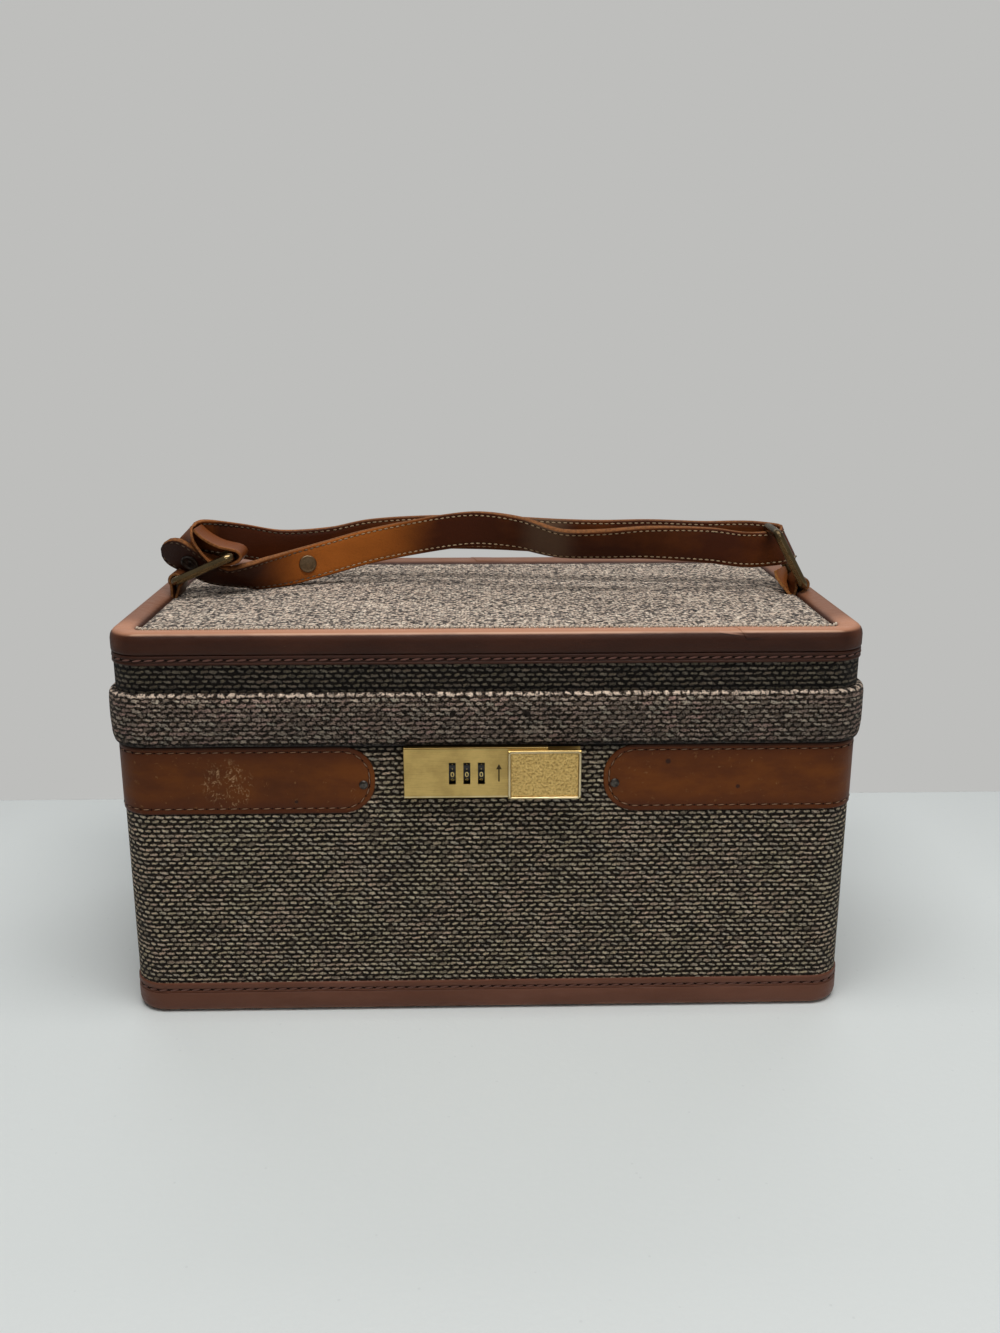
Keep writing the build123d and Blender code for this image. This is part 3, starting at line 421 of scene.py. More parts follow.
def strap_leather(name, light, dark, edge_colour, left=((34, 15, 7), 0.0, 60.0)):
    """Cognac strap leather with paler raw edges, a golden stretch of wear and painted light, and a painted
    sheen. left: colour, strength and depth y of the painted light and shade on the left end.
    """
    g = Graph(name)
    x, y, z = g.place()
    cloud = g.noise((x * 0.6, y, z), 0.045, 4.0, 0.55)
    # Wear and painted light: a golden stretch on the lit left of the strap, with the back pass kept darker as
    # painted shade.
    wear_and_light = g.step(-130.0, -84.0, x, 0.05, 1.0) * g.step(-18.0, -72.0, x)
    wear_and_light = wear_and_light * g.step(34.0, 28.5, y, 0.12, 1.0)
    # Painted sheen: a greyish reflection across the strap near x 14 to 52.
    painted_sheen = g.window(x, 14.0, 30.0, 52.0, 36.0) * 0.3
    wear_and_light = g.math("MAXIMUM", wear_and_light, g.step(40.0, 90.0, x, 0.0, 0.06)) + (cloud - 0.5) * 0.7
    base = g.mix(g.math("ADD", wear_and_light, 0.0, clamp=True), dark, light)
    base = g.mix(painted_sheen, base, (150, 132, 110))
    speck = g.noise((x, y, z), 0.8, 4.0, 0.7)
    base = g.tint(base, darker(dark, 0.6), speck, 0.5, 0.8, 0.3)
    # Painted light and shade on the left end: dark shade on the strap, lit brown on the wrap's outer face.
    left_colour, strength, reach = left
    left_light_and_shade = g.step(-108.0, -136.0, x, 0.0, strength) * g.step(reach + 5.0, reach, y)
    base = g.mix(left_light_and_shade, base, left_colour)
    edge = g.attribute("edge")
    layer = g.noise((x * 0.3, y * 0.3, z * 0.3), 2.5, 3.0)
    raw = g.tint(edge_colour, darker(edge_colour, 0.72), layer, 0.35, 0.7)
    base = g.tint(base, raw, edge, 0.4, 0.9)
    rough = g.step(0.0, 1.0, edge, 0.34, 0.7)
    return g.finish(base, rough, g.bump(grain(g, x, y, z, 1.2), 0.08), specular_ior_level=0.16)


def thread(name, base, dark, painted_left_shade=0.0):
    """Twisted sewing thread. It can have painted shade towards the left, where the strap's left end lies in
    shade.
    """
    g = Graph(name)
    x, y, z = g.place()
    twist = g.math("SINE", (x + y + z * 2.0) * 9.0)
    mixed = g.tint(dark, base, twist, -0.5, 0.8)
    # Painted shade on the threads towards the left end.
    mixed = g.tint(mixed, (58, 34, 20), x, -74.0, -104.0, painted_left_shade)
    return g.finish(mixed, 0.7, g.bump(twist, 0.12), sheen_weight=0.1, specular_ior_level=0.3)


def hole_dark():
    """Near-black painted shade for the stitch holes and the beds under stitches; the rivets' dark rings use
    it too.
    """
    g = Graph("Stitch_hole")
    point = g.place()
    spot = g.noise(point, 2.0)
    return g.finish(g.mix(spot, (14, 8, 6), (30, 18, 13)), 0.9, specular_ior_level=0.1)


# Metal, glass and other hard materials


def brushed(name, light, dark, rough, stretch, painted_shade_above=None):
    """Satin metal brushed along X, with a few tarnished clouds. It can take painted shade above a height."""
    g = Graph(name)
    x, y, z = g.place()
    hair = g.noise((x * stretch, y, z), 3.0, 4.0, 0.7)
    cloud = g.noise((x, y, z), 0.08, 4.0, 0.6)
    base = g.tint(light, dark, cloud, 0.35, 0.7)
    base = g.tint(base, darker(dark, 0.7), hair, 0.45, 0.75, 0.25)
    # Painted shade on the top edge, which lies under the padded band.
    if painted_shade_above:
        base = g.tint(base, (84, 64, 34), z, painted_shade_above, painted_shade_above + 0.25, 0.75)
    shine = rough - 0.08 + hair * 0.2
    return g.finish(base, shine, g.bump(hair, 0.015), metallic=1.0)


def aged(name, light, dark, rough, size):
    """Cast metal with a dark tarnish in patches and worn bright spots."""
    g = Graph(name)
    point = g.place()
    patch = g.noise(point, size, 5.0, 0.65)
    base = g.tint(light, dark, patch, 0.4, 0.66)
    shine = g.step(0.35, 0.7, patch, rough, rough + 0.25)
    pit = g.noise(point, 1.8, 4.0, 0.7)
    return g.finish(base, shine, g.bump(pit, 0.05), metallic=1.0)


def hard(name, light, dark, rough, metallic=0.0, size=0.2):
    """Moulded or painted surface with slight mottling."""
    g = Graph(name)
    point = g.place()
    patch = g.noise(point, size, 4.0)
    base = g.tint(light, dark, patch, 0.35, 0.7)
    fine = g.noise(point, 1.5, 3.0)
    shine = g.step(0.3, 0.7, patch, rough, rough + 0.1)
    return g.finish(base, shine, g.bump(fine, 0.03), metallic=metallic)


WALL_YARNS = ((254, 230, 190), (246, 211, 181), (221, 206, 164))
PAD_YARNS = ((220, 186, 164), (230, 182, 168), (184, 158, 142))
TWEED = side_tweed("Tweed", 4.25, 2.4, 0.9, WALL_YARNS, 0.25, 0.0)
PAD_TWEED = side_tweed("Padded_tweed", 4.6, 2.25, 2.0, PAD_YARNS, 0.65, 164.9)
TOP_TWEED = top_tweed()
VINYL = vinyl()
TAN = band_leather()
STRAP = strap_leather("Strap_leather", (172, 97, 36), (68, 30, 12), (134, 84, 44), ((34, 15, 7), 0.6, 60.0))
# The wrap is the strap's leather darkened as painted shade inside the fold, with its outer face painted lit
# brown.
WRAP_SHADE_AND_LIGHT = strap_leather("Wrap_leather_shade_and_light", (84, 40, 18), (68, 30, 12), (150, 94, 50), ((122, 66, 28), 0.9, 10.0))
TAB = strap_leather("Tab_leather", (96, 54, 28), (80, 44, 22), (140, 94, 54))
# The flap is the tab's leather made paler as painted light, where it faces the lamps.
FLAP_PAINTED_LIGHT = strap_leather("Flap_leather_painted_light", (160, 94, 48), (160, 94, 48), (176, 118, 66))
CREAM_THREAD = thread("Cream_thread", (226, 200, 160), (170, 138, 100), 0.8)
PALE_THREAD = thread("Pale_thread", (255, 244, 226), (236, 216, 190))
BAND_THREAD = thread("Band_thread", (200, 150, 110), (124, 82, 56))
VINYL_THREAD = thread("Vinyl_thread", (146, 98, 82), (92, 54, 44))
HOLE = hole_dark()
# The lock's brass and the slider's frame get painted shade on their tops, under the padded band.
BRASS = brushed("Satin_brass", (208, 177, 110), (184, 155, 94), 0.38, 0.04, 139.0)
BRIGHT_BRASS = brushed("Bright_brass", (222, 206, 166), (198, 180, 138), 0.3, 0.1, 137.9)
SNAP_BRONZE = aged("Snap_bronze", (128, 108, 84), (98, 82, 62), 0.3, 0.3)
OLD_BRASS = aged("Antique_brass", (122, 104, 74), (78, 66, 48), 0.14, 0.09)
HINGE_BRASS = brushed("Hinge_brass", (168, 150, 106), (144, 128, 88), 0.34, 0.06)
GUNMETAL = aged("Gunmetal", (92, 86, 80), (44, 40, 38), 0.3, 0.5)
DARK_RIVET = aged("Dark_rivet", (48, 42, 38), (28, 24, 22), 0.45, 0.5)
STEEL = brushed("Steel", (178, 178, 176), (150, 150, 148), 0.32, 0.1)
ALUMINIUM = brushed("Aluminium", (196, 196, 194), (170, 170, 168), 0.35, 0.05)
DIAL_BLACK = hard("Dial_black", (22, 21, 20), (34, 32, 30), 0.34)
PALE_GOLD = hard("Digit_gold", (255, 228, 140), (240, 208, 118), 0.4, 0.0)
BOARD = hard("Shell_board", (120, 94, 66), (98, 76, 54), 0.8)
FRAME_PLASTIC = hard("Frame_plastic", (92, 66, 48), (74, 52, 38), 0.35)
ENGRAVED = hard("Engraved_dark", (74, 56, 26), (52, 40, 20), 0.6, 0.6)
LINING = plain_cloth("Lining_cloth", (178, 152, 120), 6.0, 0.2)
TAPE = tape_cloth()


def pebbled_brass():
    """Hammered brass. The attribute edge marks the hollows, which get painted shade."""
    g = Graph("Pebbled_brass")
    point = g.place()
    fine = g.noise(point, 1.6, 4.0, 0.7)
    base = g.tint((236, 200, 128), (208, 172, 104), fine, 0.3, 0.7)
    # Painted shade in the hollows.
    base = g.mix(g.attribute("edge") * 0.7, base, (130, 100, 52))
    return g.finish(base, g.step(0.3, 0.7, fine, 0.26, 0.42), g.bump(fine, 0.06), metallic=1.0)


PEBBLED = pebbled_brass()


def mirror_glass():
    """Silvered glass with a faint haze."""
    g = Graph("Mirror_glass")
    point = g.place()
    haze = g.noise(point, 0.03, 4.0)
    base = g.mix(haze, (226, 230, 230), (212, 217, 218))
    return g.finish(base, g.step(0.4, 0.8, haze, 0.02, 0.08), metallic=1.0)


MIRROR = mirror_glass()


# Mesh helpers


def add_object(name, data):
    obj = bpy.data.objects.new(name, data)
    bpy.context.scene.collection.objects.link(obj)
    return obj


def make(name, verts, faces, mats, body=None, sharp=35.0, slots=None, edge=None):
    """A mesh from points in millimetres, smooth but for edges sharper than an angle."""
    mesh = bpy.data.meshes.new(name)
    mesh.from_pydata([Vector(v) * MM for v in verts], [], faces)
    mesh.validate()
    for mat in mats if isinstance(mats, list) else [mats]:
        mesh.materials.append(mat)
    mesh.shade_smooth()
    mesh.set_sharp_from_angle(angle=math.radians(sharp))
    if slots is not None:
        mesh.polygons.foreach_set("material_index", slots)
    if edge is not None:
        mesh.attributes.new("edge", "FLOAT", "POINT").data.foreach_set("value", edge)
    obj = add_object(name, mesh)
    if body:
        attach(obj, body)
    return obj


def thicken(obj, thickness, offset=-1):
    """Give a sheet a thickness in millimetres, behind its face or, with offset 0, to both sides."""
    solid = obj.modifiers.new("Thickness", "SOLIDIFY")
    solid.thickness = thickness * MM
    solid.offset = offset


def grid_faces(cols, rows):
    """Quads of a sheet whose points lie row after row."""
    w = cols + 1
    starts = [j * w + i for j in range(rows) for i in range(cols)]
    return [(a, a + 1, a + w + 1, a + w) for a in starts]


def cap_faces(over, under, flip):
    """Faces between two chains of points, which may share their ends."""
    faces = []
    for i in range(len(over) - 1):
        face = tuple(dict.fromkeys((over[i], over[i + 1], under[i + 1], under[i])))
        if len(face) > 2:
            faces.append(face if flip else face[::-1])
    return faces


def flipped(faces):
    return [face[::-1] for face in faces]


def tube_faces(rings, around, closed_rings=False):
    """Quads between rings of points."""
    faces = []
    for i in range(rings if closed_rings else rings - 1):
        a = i * around
        b = ((i + 1) % rings) * around
        for j in range(around):
            k = (j + 1) % around
            faces.append((a + j, b + j, b + k, a + k))
    return faces


def outline(step):
    """Stations round the case on the rim's outline, from the back centre: place and outward normal."""
    runs = [((0, HALF_D), (-FLAT_X, HALF_D), 90, 180), ((-HALF_W, FLAT_Y), (-HALF_W, -FLAT_Y), 180, 270),
            ((-FLAT_X, -HALF_D), (FLAT_X, -HALF_D), 270, 360), ((HALF_W, -FLAT_Y), (HALF_W, FLAT_Y), 0, 90),
            ((FLAT_X, HALF_D), (0, HALF_D), None, None)]
    found = []
    for (x0, y0), (x1, y1), from_deg, to_deg in runs:
        length = math.hypot(x1 - x0, y1 - y0)
        count = max(1, round(length / step))
        normal = ((y1 - y0) / length, -(x1 - x0) / length)
        for i in range(count):
            t = i / count
            found.append((x0 + (x1 - x0) * t, y0 + (y1 - y0) * t, *normal))
        if from_deg is not None:
            cx = math.copysign(FLAT_X, x1)
            cy = math.copysign(FLAT_Y, y1)
            bends = max(8, round(BEND / step))
            for i in range(bends):
                a = math.radians(from_deg + (to_deg - from_deg) * i / bends)
                nx, ny = math.cos(a), math.sin(a)
                found.append((cx + CORNER_R * nx, cy + CORNER_R * ny, nx, ny))
    return found


def sweep(name, profile_at, mats, body, step, sharp):
    """Strip round the case. profile_at gives (inset, height) points for a place x, y and its normal's y."""
    stations = outline(step)
    verts = []
    for x, y, nx, ny in stations:
        ring = profile_at(x, y, ny)
        verts += [(x - nx * inset, y - ny * inset, z) for inset, z in ring]
    faces = tube_faces(len(stations), len(ring), closed_rings=True)
    return make(name, verts, faces, mats, body, sharp)


def wall_point(s, z, out):
    """Point on the wall at a signed arc length from the front centre, and its outward normal."""
    side = math.copysign(1, s)
    s = abs(s)
    back = s > QUARTER
    if back:
        s = 2 * QUARTER - s
    if s < FLAT_X:
        x, y, nx, ny = s, -HALF_D, 0.0, -1.0
    elif s < FLAT_X + BEND:
        a = (s - FLAT_X) / CORNER_R
        nx, ny = math.sin(a), -math.cos(a)
        x, y = FLAT_X + CORNER_R * nx, -FLAT_Y + CORNER_R * ny
    else:
        x, y, nx, ny = HALF_W, -FLAT_Y + (s - FLAT_X - BEND), 1.0, 0.0
    if back:
        y, ny = -y, -ny
    reach = out - TWEED_IN
    return Vector((side * (x + nx * reach), y + ny * reach, z)), Vector((side * nx, ny, 0.0))


def lathe(name, profile, place, axis, mats, body, around=32, sharp=50.0):
    """Turned shape. The profile has (radius, height along the axis) points and starts on the axis."""
    turn = Vector((0, 0, 1)).rotation_difference(Vector(axis)).to_matrix()
    verts = []
    for radius, height in profile:
        for i in range(around):
            a = 2 * math.pi * i / around
            verts.append(Vector(place) + turn @ Vector((radius * math.cos(a), radius * math.sin(a), height)))
    faces = tube_faces(len(profile), around)
    faces.append(tuple(range(around))[::-1])
    faces.append(tuple((len(profile) - 1) * around + i for i in range(around)))
    return make(name, verts, faces, mats, body, sharp)


def blob(rounds=8, levels=4):
    """Unit ball with few faces, for a stitch."""
    verts = [Vector((0, 0, -1))]
    for i in range(1, levels):
        a = math.pi * i / levels
        for j in range(rounds):
            b = 2 * math.pi * j / rounds
            verts.append(Vector((math.sin(a) * math.cos(b), math.sin(a) * math.sin(b), -math.cos(a))))
    verts.append(Vector((0, 0, 1)))
    top = len(verts) - 1
    pairs = [(j, (j + 1) % rounds) for j in range(rounds)]
    faces = [(0, 1 + k, 1 + j) for j, k in pairs]
    for a in range(1, 1 + (levels - 2) * rounds, rounds):
        faces += [(a + j, a + k, a + rounds + k, a + rounds + j) for j, k in pairs]
    a = top - rounds
    faces += [(a + j, a + k, top) for j, k in pairs]
    return verts, faces


BALL = blob()


def stitches(name, path, pitch, size, mats, body, lean, hole=0.0):
    """Row of stitches along a path of (point, normal). size is a stitch's length, width and height."""
    lists = [], [], []
    long, wide, high = size
    for point, normal, ahead in along(path, pitch):
        turned = Matrix.Rotation(math.radians(lean * random.uniform(0.7, 1.3)), 3, normal) @ ahead
        side = normal.cross(turned)
        middle = point + normal * high * 0.1
        add_ball(lists, middle, turned * long / 2, side * wide / 2, normal * high / 2, 0)
        # Painted shade: a dark bed under each stitch and a dark hole between stitches.
        if hole:
            add_ball(lists, point, turned * long * 0.6, side * wide * 1.15, normal * 0.12, 1)
            gap = point + ahead * pitch / 2
            add_ball(lists, gap, ahead * hole / 2, normal.cross(ahead) * hole / 2, normal * 0.08, 1)
    verts, faces, slots = lists
    return make(name, verts, faces, mats, body, 80.0, slots)


def add_ball(lists, centre, a, b, c, slot):
    """Add a ball with these three half axes to the lists of points, faces and material slots of a mesh."""
    verts, faces, slots = lists
    first = len(verts)
    verts += [centre + a * v.x + b * v.y + c * v.z for v in BALL[0]]
    faces += [tuple(first + k for k in face) for face in BALL[1]]
    slots += [slot] * len(BALL[1])


def along(path, pitch):
    """Evenly spaced places on a path of (point, normal): point, normal and heading."""
    found = []
    want = pitch / 2
    travelled = 0.0
    for (p, n), (q, m) in zip(path, path[1:]):
        run = (q - p).length
        while run > 0 and want <= travelled + run:
            t = (want - travelled) / run
            found.append((p.lerp(q, t), n.lerp(m, t).normalized(), (q - p).normalized()))
            want += pitch
        travelled += run
    return found


# The stage, the light and the camera


def camera():
    """Camera fitted to the corners and edges of the box in the photo."""
    data = bpy.data.cameras.new("Camera")
    data.sensor_width = 36.0
    data.lens = 32.73
    data.clip_start = 0.02
    look_down = 15.391
    turn_right = 1.388
    obj = add_object("Camera", data)
    obj.location = (-0.008144, -0.639164, 0.327436)
    obj.rotation_euler = (math.radians(90 - look_down), 0.0, math.radians(-turn_right))
    bpy.context.scene.camera = obj


def lamp(name, place, target, size, power, tint):
    """Rectangular lamp turned to a target."""
    data = bpy.data.lights.new(name, "AREA")
    data.shape = "RECTANGLE"
    data.size, data.size_y = size
    data.energy = power
    data.color = tint
    obj = add_object(name, data)
    obj.location = place
    obj.rotation_euler = (Vector(target) - Vector(place)).to_track_quat("-Z", "Y").to_euler()


def table_top():
    """White table whose back edge shows just behind the case."""
    half = 1500
    back = 190
    edge_r = 15
    verts = [(-half, -half, 0), (half, -half, 0), (half, back, 0), (-half, back, 0)]
    for i in range(1, 7):
        a = math.radians(15 * i)
        y = back + edge_r * math.sin(a)
        z = -edge_r + edge_r * math.cos(a)
        verts += [(half, y, z), (-half, y, z)]
    faces = [(0, 1, 2, 3), (3, 2, 4, 5)]
    faces += [(5 + 2 * i, 4 + 2 * i, 6 + 2 * i, 7 + 2 * i) for i in range(5)]
    g = Graph("Table")
    point = g.place()
    pebble = g.noise(point, 0.35, 4.0)
    speck = g.cells(point, 0.09)
    base = g.tint((224, 229, 229), (150, 155, 160), speck, 0.07, 0.03, 0.12)
    mat = g.finish(base, 0.55, g.bump(pebble, 0.15), specular_ior_level=0.3)
    obj = make("Table", verts, faces, mat)


def room():
    """Plain pale backdrop for the camera and for reflections, and a weaker even light on the object."""
    g = Graph("World", bpy.data.worlds)
    bpy.context.scene.world = g.data
    g.tree.nodes.clear()
    shown = g.add("ShaderNodeBackground", {"Color": (190, 190, 188)})
    lit = g.add("ShaderNodeBackground", {"Color": [0.93, 0.97, 1.0, 1.0], "Strength": 0.05})
    ray = g.add("ShaderNodeLightPath", {}, "Is Camera Ray")
    seen = g.math("MAXIMUM", ray, ray.other("Is Glossy Ray") * 0.45)
    seen = g.math("MAXIMUM", seen, ray.other("Is Transmission Ray"))
    out = g.tree.nodes.new("ShaderNodeOutputWorld")
    g.put(out.inputs["Surface"], g.add("ShaderNodeMixShader", {0: seen, 1: lit, 2: shown}))


bpy.context.scene.view_settings.view_transform = "Standard"
camera()
table_top()
room()
lamp("Ceiling", (0.04, -0.34, 1.25), (0.04, -0.2, 0.0), (1.1, 0.6), 13.4, (1.0, 0.99, 0.97))
lamp("Room", (0.3, -1.5, 1.0), (0, 0.0, 0.15), (0.7, 0.4), 3.0, (1.0, 0.98, 0.95))
lamp("Back", (0.0, 1.0, 1.08), (0, 0.0, 0.15), (2.4, 0.5), 6.0, (1.0, 1.0, 1.0))


# Bindings


RIM_PROFILE = [
    (0.85, 179.4), (0.4, 179.42), (0.16, 179.65), (0.1, 180.1), (0.2, 180.5), (0.55, 180.8), (0.3, 181.1),
    (0.3, 181.35), (0.75, 181.65), (0.8, 182.1), (0.35, 182.5), (0.12, 183.0), (0.2, 183.7), (0.55, 184.05),
    (1.1, 184.25),
    (0.45, 184.5), (0.1, 184.85), (0.0, 185.6), (0.0, 190.4), (0.22, 191.7), (0.85, 193.1), (1.9, 194.2),
    (3.4, 194.86),
    (5.0, 195.0), (7.2, 194.75), (9.4, 194.3), (11.2, 193.75), (12.3, 193.1), (12.85, 192.3), (12.95, 191.5),
    (5.0, 191.5), (1.75, 189.0), (1.75, 179.45),
]
BASE_PROFILE = [
    (0.85, 15.98), (0.4, 15.96), (0.15, 15.7), (0.08, 15.2), (0.08, 13.6), (0.3, 13.0), (0.8, 12.65),
    (0.8, 12.1),
    (0.3, 11.75), (0.15, 11.2), (0.6, 10.95), (0.1, 10.6), (0.0, 9.8), (0.0, 4.2), (0.3, 2.7), (1.05, 1.35),
    (2.3, 0.45), (4.0, 0.0),
    (14.0, 0.0), (14.0, 1.1), (4.6, 1.15), (2.2, 2.2), (1.75, 4.0), (1.75, 15.96),
]


def binding(name, profile, node, body):
    """Vinyl strip round the case. It wavers a little, as a strip folded by hand does."""

    def at(x, y, ny):
        ring = []
        for inset, z in profile:
            waver = noise.noise(Vector((x * 0.03, y * 0.03, z * 0.08))) * 0.12 if 0.05 < inset < 0.6 else 0.0
            ring.append((inset, z + waver))
        return ring

    obj = sweep(name, at, VINYL, body, 3.0, 40.0)
    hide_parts(node)


def binding_seam(name, z, body):
    """Stitches in the groove of a binding."""
    path = [(Vector((x - nx * 0.5, y - ny * 0.5, z)), Vector((nx, ny, 0))) for x, y, nx, ny in outline(1.5)]
    obj = stitches(name, path + path[:1], 5.36, (4.5, 0.95, 0.9), [VINYL_THREAD, HOLE], body, 8.0, 1.0)


binding("Lid_binding", RIM_PROFILE, "lid_binding", "case_lid")
binding("Bottom_binding", BASE_PROFILE, "bottom_binding", "case_body")
binding_seam("lid_binding_stitches", 181.9, "case_lid")
binding_seam("bottom_binding_stitches", 12.35, "case_body")


def overlap_joint(name, x0, x1, sign):
    """Where the strip's end laps over its start on the rim: a thin second layer with a slanted end."""
    top = [(-0.12, 190.6), (0.12, 191.75), (0.75, 193.2), (1.8, 194.35), (3.35, 195.02), (5.0, 195.17),
           (7.2, 194.92), (9.4, 194.47), (11.2, 193.9)]
    verts = []
    count = 14
    for i in range(count + 1):
        t = i / count
        sink = 0.3 * t ** 2
        for j, (inset, z) in enumerate(top):
            skew = (len(top) - j) * 0.8 * (1 - t)
            verts.append((x0 + (x1 - x0) * t - sign * skew, sign * (HALF_D - inset - sink), z - sink))
    n = len(top)
    starts = [i * n + j for i in range(count) for j in range(n - 1)]
    faces = [(a, a + n, a + n + 1, a + 1) for a in starts]
    obj = make(name, verts, flipped(faces) if sign > 0 else faces, VINYL)
    thicken(obj, 0.25)
    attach(obj, "case_lid")


overlap_joint("Rim_lap_front", 112.0, 131.0, -1)
overlap_joint("Rim_lap_back", -4.0, 12.0, 1)


# Top panel


def top_panel():
    """Cloth panel of the lid, a little crowned, with a rounded edge that turns down into the seam."""
    inset = 12.9
    half_x = HALF_W - inset
    half_y = HALF_D - inset
    cols = 150
    rows = 78
    verts = []
    for j in range(rows + 1):
        for i in range(cols + 1):
            x = half_x * (2 * i / cols - 1)
            y = half_y * (2 * j / rows - 1)
            edge = min(half_x - abs(x), half_y - abs(y))
            crown = 0.35 * (1 - (x / half_x) ** 4) * (1 - (y / half_y) ** 2)
            roll = 0.7 * (1 - math.exp(-edge / 1.2))
            lump = 0.12 * noise.noise(Vector((x * 0.05, y * 0.05, 0))) * min(1.0, edge / 6)
            verts.append((x, y, 192.2 + roll + crown + lump))
    obj = make("Lid_tweed_top", verts, grid_faces(cols, rows), TOP_TWEED)
    thicken(obj, 0.5)
    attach(obj, "case_lid")
    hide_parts("lid_tweed_top")


top_panel()


def edge_loops():
    """Bright thread ends that show where the panel's cloth turns down into the rim."""
    path = []
    for x, y, nx, ny in outline(1.5):
        if ny < -0.3:
            normal = Vector((nx * 0.3, ny * 0.3, 0.9)).normalized()
            path.append((Vector((x - nx * 12.6, y - ny * 12.6, 193.8)), normal))
    obj = stitches("Panel_edge_threads", path, 2.35, (2.0, 1.5, 2.1), [PALE_THREAD], "case_lid", 25.0)


edge_loops()


# Padded band


def padded_band():
    """Soft tweed roll round the lid's lower edge. At the back it stops above the hinge."""
    outer = [(-0.55, 0.0), (-1.3, 0.03), (-1.9, 0.09), (-2.3, 0.18), (-2.5, 0.3), (-2.6, 0.42), (-2.65, 0.54),
             (-2.65, 0.66), (-2.6, 0.78), (-2.5, 0.87), (-2.2, 0.93), (-1.7, 0.97), (-1.0, 0.99), (-0.2, 1.0),
             (0.5, 0.995), (1.2, 0.98)]
    hinge_half = 104
    high = 166.2

    def at(x, y, ny):
        behind = ny > 0.9 and abs(x) < hinge_half
        open_share = min(1.0, (hinge_half - abs(x)) / 4) if behind else 0.0
        low = 140.1 + 4.6 * open_share
        ring = []
        for inset, t in outer:
            z = low + (high - low) * t
            lump = noise.noise(Vector((x * 0.035, y * 0.035, z * 0.06))) * 0.35
            fine = noise.noise(Vector((x * 0.3, y * 0.3, z * 0.35))) * 0.26
            give = (lump + fine) * math.sin(math.pi * t)
            ring.append((inset - give, z + 0.25 * lump))
        inner_low = max(low, 141.5)
        ring += [(1.72, 165.8), (1.72, inner_low + 0.1), (0.6, inner_low), (0.5, low + 0.2)]
        return ring

    obj = sweep("Padded_band", at, PAD_TWEED, "case_lid", 1.8, 60.0)
    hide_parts("padded_band")


padded_band()


# Side bands


BAND_LOW = 106.0
BAND_HIGH = 139.5
BAND_END_R = 15.5
BAND_FRONT_X = 54.4
BAND_BACK_X = 104.0


def pill_ring(d, s0, s1):
    """Outline of a side band set in by d. Top and bottom chain of (arc length, height) points."""
    radius = BAND_END_R - d
    middle = (BAND_LOW + BAND_HIGH) / 2
    half = (BAND_HIGH - BAND_LOW) / 2 - d
    top = [(s0 + d, middle)]
    bends = 10
    for i in range(bends + 1):
        a = math.pi / 2 * i / bends
        top.append((s0 + d + radius * (1 - math.cos(a)), middle + half - radius + radius * math.sin(a)))
    first = s0 + BAND_END_R
    last = s1 - BAND_END_R
    count = round((last - first) / 3.0)
    top += [(first + (last - first) * i / count, middle + half) for i in range(1, count)]
    for i in range(bends + 1):
        a = math.pi / 2 * (1 - i / bends)
        top.append((s1 - d - radius * (1 - math.cos(a)), middle + half - radius + radius * math.sin(a)))
    top.append((s1 - d, middle))
    bottom = [(s, 2 * middle - z) for s, z in top[1:-1]]
    return top, bottom


def side_band(side, word):
    """Stitched leather band round one end of the case, with a rolled edge."""
    s0 = BAND_FRONT_X
    s1 = 2 * QUARTER - BAND_BACK_X
    steps = [(0.0, 0.02), (0.0, 0.34), (0.12, 0.52), (0.38, 0.63), (0.9, 0.68), (1.9, 0.66), (2.6, 0.52),
             (3.3, 0.66), (4.6, 0.7)]
    verts = []
    for d, h in steps:
        top, bottom = pill_ring(d, s0, s1)
        verts += [wall_point(side * s, z, h)[0] for s, z in top + bottom[::-1]]
    n = len(top) + len(bottom)
    faces = tube_faces(len(steps), n)
    for level, flip in ((0, True), (len(steps) - 1, False)):
        a = level * n
        over = [a + i for i in range(len(top))]
        under = [a] + [a + n - i for i in range(1, len(top) - 1)] + [over[-1]]
        faces += cap_faces(over, under, flip)
    name = f"Side_band_{word}"
    obj = make(name, verts, flipped(faces) if side > 0 else faces, TAN, "case_body", 50.0)
    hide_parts(f"side_band_{word}")
    top, bottom = pill_ring(2.6, s0, s1)
    path = [wall_point(side * s, z, 0.56) for s, z in top + bottom[::-1] + top[:1]]
    size = (3.3, 0.62, 0.5)
    seam = stitches(f"{name}_stitches", path, 5.2, size, [BAND_THREAD, HOLE], "case_body", 5.0, 1.1)


side_band(-1, "left")
side_band(1, "right")


RIVET = [(1.0, -0.1), (1.0, 0.35), (0.93, 0.6), (0.7, 0.82), (0.35, 0.94), (0.02, 0.96)]
WASHER = [(1.04, -0.3), (1.36, -0.3), (1.34, 0.06), (1.18, 0.14), (1.02, 0.0)]


def rivets(name, node, places, radius, mat, body):
    """Domed heads, each in a dark pressed ring. places are (point, direction)."""
    parts = []
    for place, axis in places:
        for profile, part_mat in ((RIVET, mat), (WASHER, HOLE)):
            shaped = [(r * radius, h) for r, h in profile]
            parts.append(lathe("part", shaped, place, axis, part_mat, None, 26))
    obj = joined(name, parts)
    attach(obj, body)
    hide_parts(node)


def joined(name, parts):
    """One object from several, with their materials kept."""
    verts = []
    faces = []
    slots = []
    mats = []
    for part in parts:
        first = len(verts)
        verts += [v.co / MM for v in part.data.vertices]
        mat = part.data.materials[0]
        if mat not in mats:
            mats.append(mat)
        for polygon in part.data.polygons:
            faces.append(tuple(first + k for k in polygon.vertices))
            slots.append(mats.index(mat))
        bpy.data.objects.remove(part)
    return make(name, verts, faces, mats, None, 50.0, slots)


